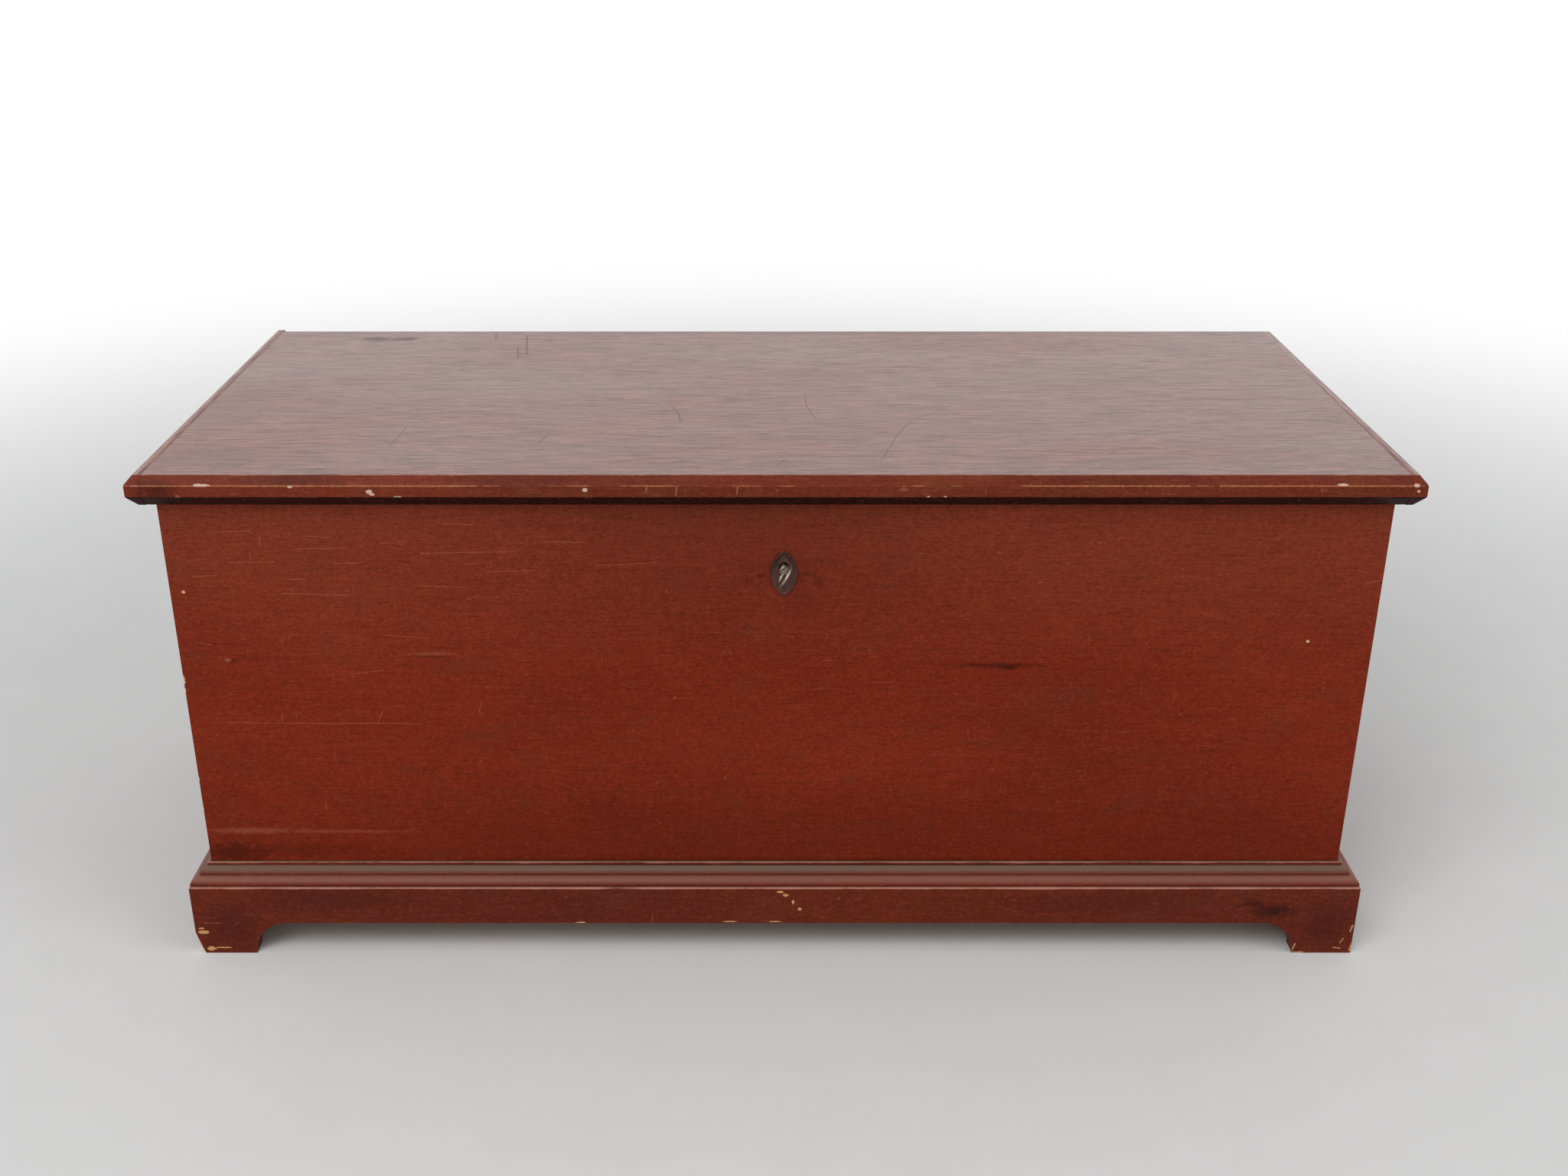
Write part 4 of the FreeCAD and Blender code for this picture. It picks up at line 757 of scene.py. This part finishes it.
class CHEST_OT_lid(ChestOperator, bpy.types.Operator):
    """The lid and the two cleats that keep it flat"""
    bl_idname = "chest.lid"
    bl_label = "Lid"

    def execute(self, context):
        colour, edge_colour = list(self.colours.lid_paint), linear("#6B2917")
        top, face, chipped = LID_TOP, LID_FRONT, ("#A98372", "#D9C0B2")
        scratches = [
            scratch((a, b, top), (c, d, top), width * 1.6) for a, b, c, d, width in (
                (-307, 253, -296, 166, 2.6), (-311, 200, -305, 156, 2.2), (-346, 258, -344, 238, 3.0),
                (-112, -39, -104, -60, 2.0), (-104, -60, -100, -87, 2.0), (34, 8, 35, -40, 1.5),
                (35, -40, 43, -82, 1.5), (104, -218, 128, -131, 1.4), (128, -131, 145, -87, 1.4),
                (145, -87, 186, -44, 1.4), (-392, -174, -386, -110, 1.3), (-241, -165, -236, -135, 1.6),
                (0, -232, 10, -212, 1.6), (100, 176, 135, 212, 1.3))]
        knots = [soft_cloud((-488, 236, top), (28, 16, 5), 1.0), soft_cloud((-452, 240, top), (28, 10, 5), 1.0),
                 chip((-493, 238, top), (16, 6, 3)), chip((-458, 234, top), (18, 5, 3)),
                 soft_cloud((0, 275, top), (760, 26, 9), 0.5), soft_cloud((-120, 190, top), (150, 60, 9), 0.16),
                 soft_cloud((160, 205, top), (170, 30, 9), 0.22), soft_cloud((330, 90, top), (130, 60, 9), 0.18),
                 soft_cloud((-400, 0, top), (160, 90, 9), 0.1), soft_cloud((100, -120, top), (210, 70, 9), 0.12),
                 soft_cloud((-560, -205, top), (150, 50, 9), 0.3), soft_cloud((-590, -60, top), (50, 150, 9), 0.28)]
        # the pale line where the face meets the top chamfer, with the long pale scratches along it, is partly wear
        # and partly a painted highlight
        edges = [edge_wear(0, (0, face, FACE_TOP), 1.3, 0.42), edge_wear(0, (0, TOP_EDGE, top), 1.4, 0.45),
                 edge_wear(0, (0, face, FACE_FOOT), 1.0, 0.52)] + scratch_rows(face, (
                     (-126, 538, -125, 544, 1.3), (-97, 535, -96, 544, 1.3), (-38, 536, -37, 544, 1.3),
                     (-624, FACE_TOP, -300, FACE_TOP, 1.9), (250, FACE_TOP, 400, FACE_TOP, 1.9),
                     (430, FACE_TOP, 622, FACE_TOP, 1.9)))
        bare = spot_rows(chip, face, (
            (-556, 545, 10, 3, 1.3), (548, 545.5, 6, 3, 1.3), (-394, 538.5, 3.4, 3, 2.2),
            (-391, 535.8, 3.0, 3, 1.5), (-367, 532.8, 4.0, 3, 1.5), (-470, 543.5, 3, 3, 1.2),
            (-185, 540.5, 3.2, 3, 1.8), (148, 533.4, 1.8, 3, 1.0), (164, 533.4, 1.8, 3, 1.0)))
        dark = [soft_cloud((-470, TOP_EDGE - 4, 548), (70, 9, 9), 0.5), soft_cloud((-250, TOP_EDGE - 4, 548), (120, 9, 9), 0.3),
                soft_cloud((320, TOP_EDGE - 4, 548), (140, 9, 9), 0.3), soft_cloud((-600, face, 540), (26, 20, 16), 0.7)]
        above = oil_paint("oil_paint_lid_top", colour, 0, wear=edges[1:2], dark=knots + scratches, gloss=0.33,
                          glint=0.5, varnish=0.82, streaky=2.0)
        around = oil_paint("oil_paint_lid_edges", edge_colour, 0, wear=edges, bare=bare, dark=dark, gloss=0.38,
                           glint=0.1, wood=chipped, thin_hue="#7A4426", worn_hue="#B9774F",
                           pale=[soft_cloud((123, face, 541), (7, 3, 3), 0.6)])
        end_top = oil_paint("oil_paint_cleat_tops", colour, 1, gloss=0.33, glint=0.5, varnish=0.82, streaky=2.0)
        end_around = oil_paint("oil_paint_cleat_edges", edge_colour, 1, wear=edges, dark=dark, gloss=0.38,
                               glint=0.1, wood=chipped, bare=[chip((619.5, face, 545), (3, 3, 2.0)),
                                                 chip((622, face, 539), (1.5, 3, 1.6))])
        under = bare_pine("bare_pine_lid", 0)
        # the slope under the rim faces the floor, and its paint is made near black: painted shade under the lid's rim
        shaded_slopes = [oil_paint("oil_paint_lid_slope_" + run, linear("#260E0B"), axis, glint=0.05, thin_hue="#241310")
                 for run, axis in (("long", 0), ("end", 1))]

        def by_facing(face_):
            up = face_.normal.z
            return 0 if up > 0.92 else 1 if up > -0.3 else 2 if up < -0.95 else 3

        def outer(edge):
            spot = middle(edge)
            return abs(spot.x) > LID_END + 1 or spot.y < TOP_EDGE + 1 or spot.y > BACK - 30

        worn_copy("lid_board", "lid", [above, around, under, shaded_slopes[0]], lambda e: runs(e, 0), self.sizes.arris,
                  self.sizes.joint, by_facing)
        for name in ("lid_cleat_left", "lid_cleat_right"):
            worn_copy(name, "lid", [end_top, end_around, under, shaded_slopes[1]], outer, self.sizes.arris, self.sizes.joint,
                      by_facing, 5)
        return {"FINISHED"}


class CHEST_OT_base(ChestOperator, bpy.types.Operator):
    """Base boards, cove strips and the plain brackets at the back"""
    bl_idname = "chest.base"
    bl_label = "Base"

    def execute(self, context):
        colour, y = list(self.colours.base_paint), BASE_FRONT
        bare = spot_rows(chip, y, (
            (6, 79, 4, 3, 1.6), (12, 75, 3, 3, 2.0), (20, 66, 1.4, 3, 3), (27, 57, 2.4, 3, 2), (-48, 41, 8, 4, 0.9),
            (0, 41, 7, 4, 0.8), (-210, 40, 6, 4, 0.8), (-622, 27, 6.5, 6, 2.2), (-624, 32, 3, 6, 1.2),
            (-616, 6, 5, 6, 3.0), (-603, 7, 9, 6, 0.8))) + scratch_rows(y, (
            (629, 36, 627, 28, 2.6), (621, 19, 618, 13, 1.8), (612, 7, 619, 6, 2.0), (631, 12, 630, 3, 3.4),
            (569, 12, 567, 4, 2.6), (568, 1, 578, 1, 2.6)))
        dark = spot_rows(soft_cloud, y, (
            (-480, 70, 120, 9, 22, 0.4), (-590, 40, 40, 9, 40, 0.4), (600, 40, 40, 9, 40, 0.4),
            (350, 66, 160, 9, 20, 0.3), (540, 55, 34, 9, 13, 0.9), (515, 64, 24, 9, 8, 0.7)))
        low_edge = [edge_wear(0, (0, y, 39), 1.0, 0.54), edge_wear(0, (0, y + 0.4, BEAD_FOOT), 1.5, 0.28)]
        boards = {
            "front": oil_paint("oil_paint_base_front", colour, 0, wear=low_edge, bare=bare, dark=dark, dust=0.9,
                               wood=("#A9743F", "#D6AD7C"), dust_hue="#85574A"),
            "side": oil_paint("oil_paint_base_sides", colour, 1, dust=0.9, dust_hue="#85574A", wear=[
                edge_wear(1, (sign * at, 0, z), width, gaps) for sign in (-1, 1) for at, z, width, gaps in (
                    (BASE_SIDE, 39, 1.0, 0.54), (BASE_SIDE - 0.4, BEAD_FOOT, 1.5, 0.28))])}
        # the thin dark cloud on the fillet's face, under its ledge, is painted shade
        grime_and_shade, fillet, crest = ((0, FRONT - 3.3, COVE_TOP - 3.4), (0, FRONT - 3.3, COVE_TOP),
                                (SIDE + 3.3, 0, COVE_TOP))
        # the pale lines along the crests of the fillets are painted highlights
        strips = {"front": oil_paint("oil_paint_cove_front", colour, 0, dust=0.8, gloss=0.5,
                                     dark=[soft_cloud(grime_and_shade, (700, 1.6, 1.5), 0.9)],
                                     wear=[edge_wear(0, fillet, 1.4, 0.34)]),
                  "side": oil_paint("oil_paint_cove_sides", colour, 1, dust=0.8, gloss=0.5,
                                    wear=[edge_wear(1, (sign * crest[0], 0, crest[2]), 1.4, 0.34)
                                          for sign in (-1, 1)])}
        # freshly broken pine, yellow and splintery
        split = bare_pine("split_pine", 2, "#D9AE66", "#B9843F", "#8A6236")
        arris, joint, height = self.sizes.arris, self.sizes.joint, self.sizes.break_height

        corner = Vector((-BASE_SIDE, BASE_FRONT, 0)) * MM
        top = corner + Vector((0, 0, height))
        slant = (Vector((height * 0.30, 0, -height))).cross(Vector((0, height * 0.42, -height))).normalized()
        if slant.dot(corner - top) < 0:
            slant.negate()

        def break_off(bm):
            cut = bmesh.ops.bisect_plane(bm, geom=bm.verts[:] + bm.edges[:] + bm.faces[:], dist=1e-6,
                                         plane_co=top, plane_no=slant, clear_outer=True)
            bmesh.ops.holes_fill(bm, edges=[e for e in cut["geom_cut"] if isinstance(e, bmesh.types.BMEdge)])

        def on_break(face):
            return abs(face.normal.dot(slant)) > 0.999 and abs((face.calc_center_median() - top).dot(slant)) < 2e-5

        def outer(edge):
            spot = middle(edge)
            return not (abs(spot.x) > BASE_SIDE - 0.5 and spot.y < BASE_FRONT + 0.5)

        for where in ("front", "left", "right"):
            kind = "front" if where == "front" else "side"
            broken = where != "right"
            worn_copy("base_" + where, "case", [boards[kind], split], outer, arris * 0.7, joint,
                      on_break if broken else None, 12, break_off if broken else None)
            worn_copy("cove_" + where, "case", [strips[kind]], lambda e: True, joint, joint, least=12)
        plain = bare_pine("bare_pine_brackets", 0, "#8E6A45", "#6E4E31", "#3B2C20")
        for name in ("rear_bracket_left", "rear_bracket_right"):
            worn_copy(name, "case", [plain], lambda e: True, arris, joint, least=12)
        return {"FINISHED"}


class CHEST_OT_bottom(ChestOperator, bpy.types.Operator):
    """Bottom boards and the glue blocks behind the feet"""
    bl_idname = "chest.bottom"
    bl_label = "Bottom"

    def execute(self, context):
        boards = bare_pine("bare_pine_bottom", 0)
        blocks = bare_pine("bare_pine_blocks", 2, "#A27C50", "#7C5A38", "#46352A")
        for name in ("bottom_board_1", "bottom_board_2", "bottom_board_3"):
            finish_node(name, boards)
        for name in [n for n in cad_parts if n.startswith("foot_block")]:
            finish_node(name, blocks)
        return {"FINISHED"}


class CHEST_OT_ironwork(ChestOperator, bpy.types.Operator):
    """Cast butt hinges and the steel lock"""
    bl_idname = "chest.ironwork"
    bl_label = "Hinges and lock"

    def execute(self, context):
        # cast iron, black-brown with a breath of rust
        iron = aged_metal("cast_iron", "#2B2724", "#4A2E20", 0.75, 0.5)
        # rolled sheet steel gone grey
        steel = aged_metal("sheet_steel", "#6B6762", "#4A3A30", 0.9, 0.42)
        for name in ("hinge_left_case_leaf", "hinge_right_case_leaf", "hinge_left_lid_leaf",
                     "hinge_right_lid_leaf", "hinge_pin_left", "hinge_pin_right"):
            finish_node(name, iron)
        for name in ("lock_plate", "lock_cap", "lock_drill_pin", "lock_stud_left", "lock_stud_right",
                     "lock_spring", "lock_strike", "lock_bolt"):
            finish_node(name, steel)
        return {"FINISHED"}


class CHEST_OT_fasteners(ChestOperator, bpy.types.Operator):
    """Slotted screws, domed nails and the painted-over brads"""
    bl_idname = "chest.fasteners"
    bl_label = "Screws and nails"

    def execute(self, context):
        seed, slot = self.sizes.seed, self.sizes.slot
        # turned steel screws, bright in the slot and brown with rust on the crown
        screw_steel = aged_metal("turned_screw_steel", "#77716A", "#523B2C", 0.9, 0.4, rust=0.42)
        # wrought nails, scaly and dark
        nail_iron = aged_metal("wrought_nail_iron", "#3A3330", "#5A3520", 0.7, 0.6, rust=0.42)
        screws, nails = pin_tree("Slotted screws", True), pin_tree("Domed nails", False)
        for node, body in (("hinge_case_screws", "case"), ("hinge_lid_screws", "lid"), ("lock_screws", "case"),
                           ("strike_screws", "lid")):
            pins(node, body, screws, screw_steel, seed, slot, 0.55, "steel")
        pins("bottom_nails", "case", nails, nail_iron, seed, slot, 0.22, "steel")
        # brads set in and painted over
        painted = oil_paint("oil_paint_over_brads", list(self.colours.base_paint))
        for name in ("base_nails", "moulding_brads", "cleat_nails"):
            finish_node(name, painted)
        return {"FINISHED"}


class CHEST_OT_key(ChestOperator, bpy.types.Operator):
    """The key: ring bow, collars, bored shank and a cut bit"""
    bl_idname = "chest.key"
    bl_label = "Key"

    def execute(self, context):
        # filed steel that handling keeps bright between brown-grey spots of old rust
        steel = aged_metal("filed_steel", "#948A7E", "#54483E", 1.0, 0.31, rust=0.47)
        low, high = (Vector(corner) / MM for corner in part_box("key"))
        points = [v.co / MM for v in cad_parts["key"].data.vertices]
        tip = [p for p in points if p.y > high.y - 0.05]
        axis = Vector([(min(p[k] for p in tip) + max(p[k] for p in tip)) / 2 for k in range(3)])
        axis.y = 0

        def off(point):
            return Vector((point.x - axis.x, 0, point.z - axis.z))

        # the bit's far edge shows which way the bit and the bow point
        bit = [p for p in points if p.y > high.y - 12 and off(p).length > 5]
        furthest = max(off(p).length for p in bit)
        edge = [p for p in bit if off(p).length > 0.97 * furthest]
        up = sum((off(p) for p in edge), Vector()).normalized()
        side = Vector((up.z, 0, -up.x))
        bm = bmesh.new()

        def at(reach, right, rise):
            """A place from the shank's axis: along it, across the bow and in its plane."""
            return axis + Vector((0, reach, 0)) + side * right + up * rise

        # ring bow, thick where it meets the shank: its outer radius, half its bar and half its thickness
        outer, bar, cheek = 14.0, 1.9, 1.65
        middle_y = low.y + outer
        rings = []
        for i in range(64):
            turn = 2 * math.pi * i / 64
            swell = 1 + 0.35 * max(0.0, math.cos(turn)) ** 6
            reach, rise = math.cos(turn), math.sin(turn)
            ring = []
            for k in range(16):
                around = 2 * math.pi * k / 16
                radius = outer - bar * swell * (1 - math.cos(around))
                ring.append(at(middle_y + radius * reach, cheek * math.sin(around), radius * rise))
            rings.append(ring)
        loft(bm, rings)

        # shank with two turned collars, and the bore that takes the drill pin: places along it and their radii
        start, end, bore, bore_end = middle_y + outer - 3.6, high.y, 1.55, high.y - 9
        turned = [(start, 0.2), (start + 0.4, 2.6), (start + 2.6, 3.3), (start + 3.2, 4.4), (start + 4.6, 4.6),
                  (start + 5.2, 3.5), (start + 6.2, 3.35), (start + 6.7, 4.1), (start + 7.5, 4.1),
                  (start + 8.1, 3.45), (end - 0.5, 3.4), (end, 3.0), (end, bore), (bore_end, bore), (bore_end, 0.05)]
        shank = [[at(y, radius * math.cos(a), radius * math.sin(a))
                  for a in (2 * math.pi * i / 28 for i in range(28))] for y, radius in turned]
        rows = loft(bm, shank, closed=False)
        for row in (rows[0], rows[-1]):
            bm.faces.new(row)

        # bit with two cuts for the wards, and half its thickness
        half = 0.95
        reach, near, back = off(edge[0]).dot(up), min(p.y for p in edge), max(p.y for p in edge)
        profile = [(near, 2.5), (near, reach), (near + 1.7, reach), (near + 1.7, reach - 3), (near + 2.5, reach - 3),
                   (near + 2.5, reach), (back - 1.3, reach), (back - 1.3, reach - 1.6), (back, reach - 1.6),
                   (back, 2.5)]
        sides = [[bm.verts.new(at(y, t, r) * MM) for y, r in profile] for t in (-half, half)]
        count = len(profile)
        for i in range(count):
            j = (i + 1) % count
            bm.faces.new((sides[0][i], sides[0][j], sides[1][j], sides[1][i]))
        for row in sides:
            bm.faces.new(row)
        bmesh.ops.triangulate(bm, faces=[f for f in bm.faces if len(f.verts) > 4])
        new_piece(bm, "key_filed", "key", "key", steel)
        return {"FINISHED"}


class CHEST_OT_escutcheon(ChestOperator, bpy.types.Operator):
    """Almond-shaped keyhole plate with a raised rim, and its two pins"""
    bl_idname = "chest.escutcheon"
    bl_label = "Escutcheon"

    def execute(self, context):
        # cast brass under dark brown patina, with a dull gleam where light falls on the rim
        brass = aged_metal("patinated_brass", "#4E2A20", "#1E0F0B", 0.5, 0.38, rust=0.5)
        low, high = (Vector(corner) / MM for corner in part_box("escutcheon"))
        wide, tall = (high.x - low.x) / 2, (high.z - low.z) / 2
        centre_x, centre_z, face = (low.x + high.x) / 2, (low.z + high.z) / 2, high.y
        # the keyhole's centre and radius, half the width of its slot, and how far that reaches down
        hole_z, hole, slot, drop = centre_z + 7.4, 4.4, 1.5, 11.6
        steps = 96

        def oval(inset, y):
            """The plate's pointed outline, drawn in by inset, at a depth y."""
            ring = []
            for i in range(steps):
                turn = 2 * math.pi * i / steps
                rise = math.sin(turn)
                across = (1 - abs(rise) ** 1.8) ** 0.7 * (1 if math.cos(turn) >= 0 else -1)
                ring.append((centre_x + (wide - inset) * across, y, centre_z + (tall - inset * 1.25) * rise))
            return ring

        def keyhole(grow, y):
            """The keyhole's outline, grown outwards, at a depth y."""
            ring = []
            for i in range(steps):
                turn = 2 * math.pi * i / steps
                radius = hole + grow
                if math.sin(turn) < 0:
                    to_side = (slot + grow) / max(1e-6, abs(math.cos(turn)))
                    to_end = (drop + grow) / abs(math.sin(turn))
                    radius = max(radius, min(to_side, to_end))
                ring.append((centre_x + radius * math.cos(turn), y, hole_z + radius * math.sin(turn)))
            return ring

        bm = bmesh.new()
        loft(bm, [oval(0, face), oval(0, face - 1.3), oval(0.35, face - 1.95), oval(0.9, face - 2.1),
                  oval(1.5, face - 1.9), oval(2.0, face - 1.15), oval(4.5, face - 1.05), keyhole(1.5, face - 1.05),
                  keyhole(1.1, face - 1.5), keyhole(0.5, face - 1.65), keyhole(0, face - 1.3), keyhole(0, face)])
        new_piece(bm, "escutcheon_plate", "escutcheon", "case", brass, 60)
        pins("escutcheon_pins", "case", bpy.data.node_groups["Domed nails"], brass, self.sizes.seed,
             self.sizes.slot, 0.57, "aged_brass")
        return {"FINISHED"}


class CHEST_PT_panel(bpy.types.Panel):
    """Lists the steps that dress the chest"""
    bl_idname = "CHEST_PT_panel"
    bl_label = "Blanket chest"
    bl_space_type = "VIEW_3D"
    bl_region_type = "UI"
    bl_category = "Chest"

    def draw(self, context):
        for holder in (context.scene.chest_sizes, context.scene.chest_colours):
            for name in holder.bl_rna.properties.keys():
                if name not in ("rna_type", "name"):
                    self.layout.prop(holder, name)
        for step in STEPS:
            self.layout.operator(step.bl_idname)


STEPS = (CHEST_OT_stage, CHEST_OT_case, CHEST_OT_lid, CHEST_OT_base, CHEST_OT_bottom, CHEST_OT_ironwork,
         CHEST_OT_fasteners, CHEST_OT_key, CHEST_OT_escutcheon)
CLASSES = (ChestSizes, ChestColours) + STEPS + (CHEST_PT_panel,)


def register():
    for kind in CLASSES:
        bpy.utils.register_class(kind)
    bpy.types.Scene.chest_sizes = PointerProperty(type=ChestSizes)
    bpy.types.Scene.chest_colours = PointerProperty(type=ChestColours)


def unregister():
    del bpy.types.Scene.chest_colours
    del bpy.types.Scene.chest_sizes
    for kind in reversed(CLASSES):
        bpy.utils.unregister_class(kind)


def main():
    """Dresses the chest."""
    register()
    for step in STEPS:
        space, name = step.bl_idname.split(".")
        getattr(getattr(bpy.ops, space), name)()


if __name__ == "__main__":
    main()
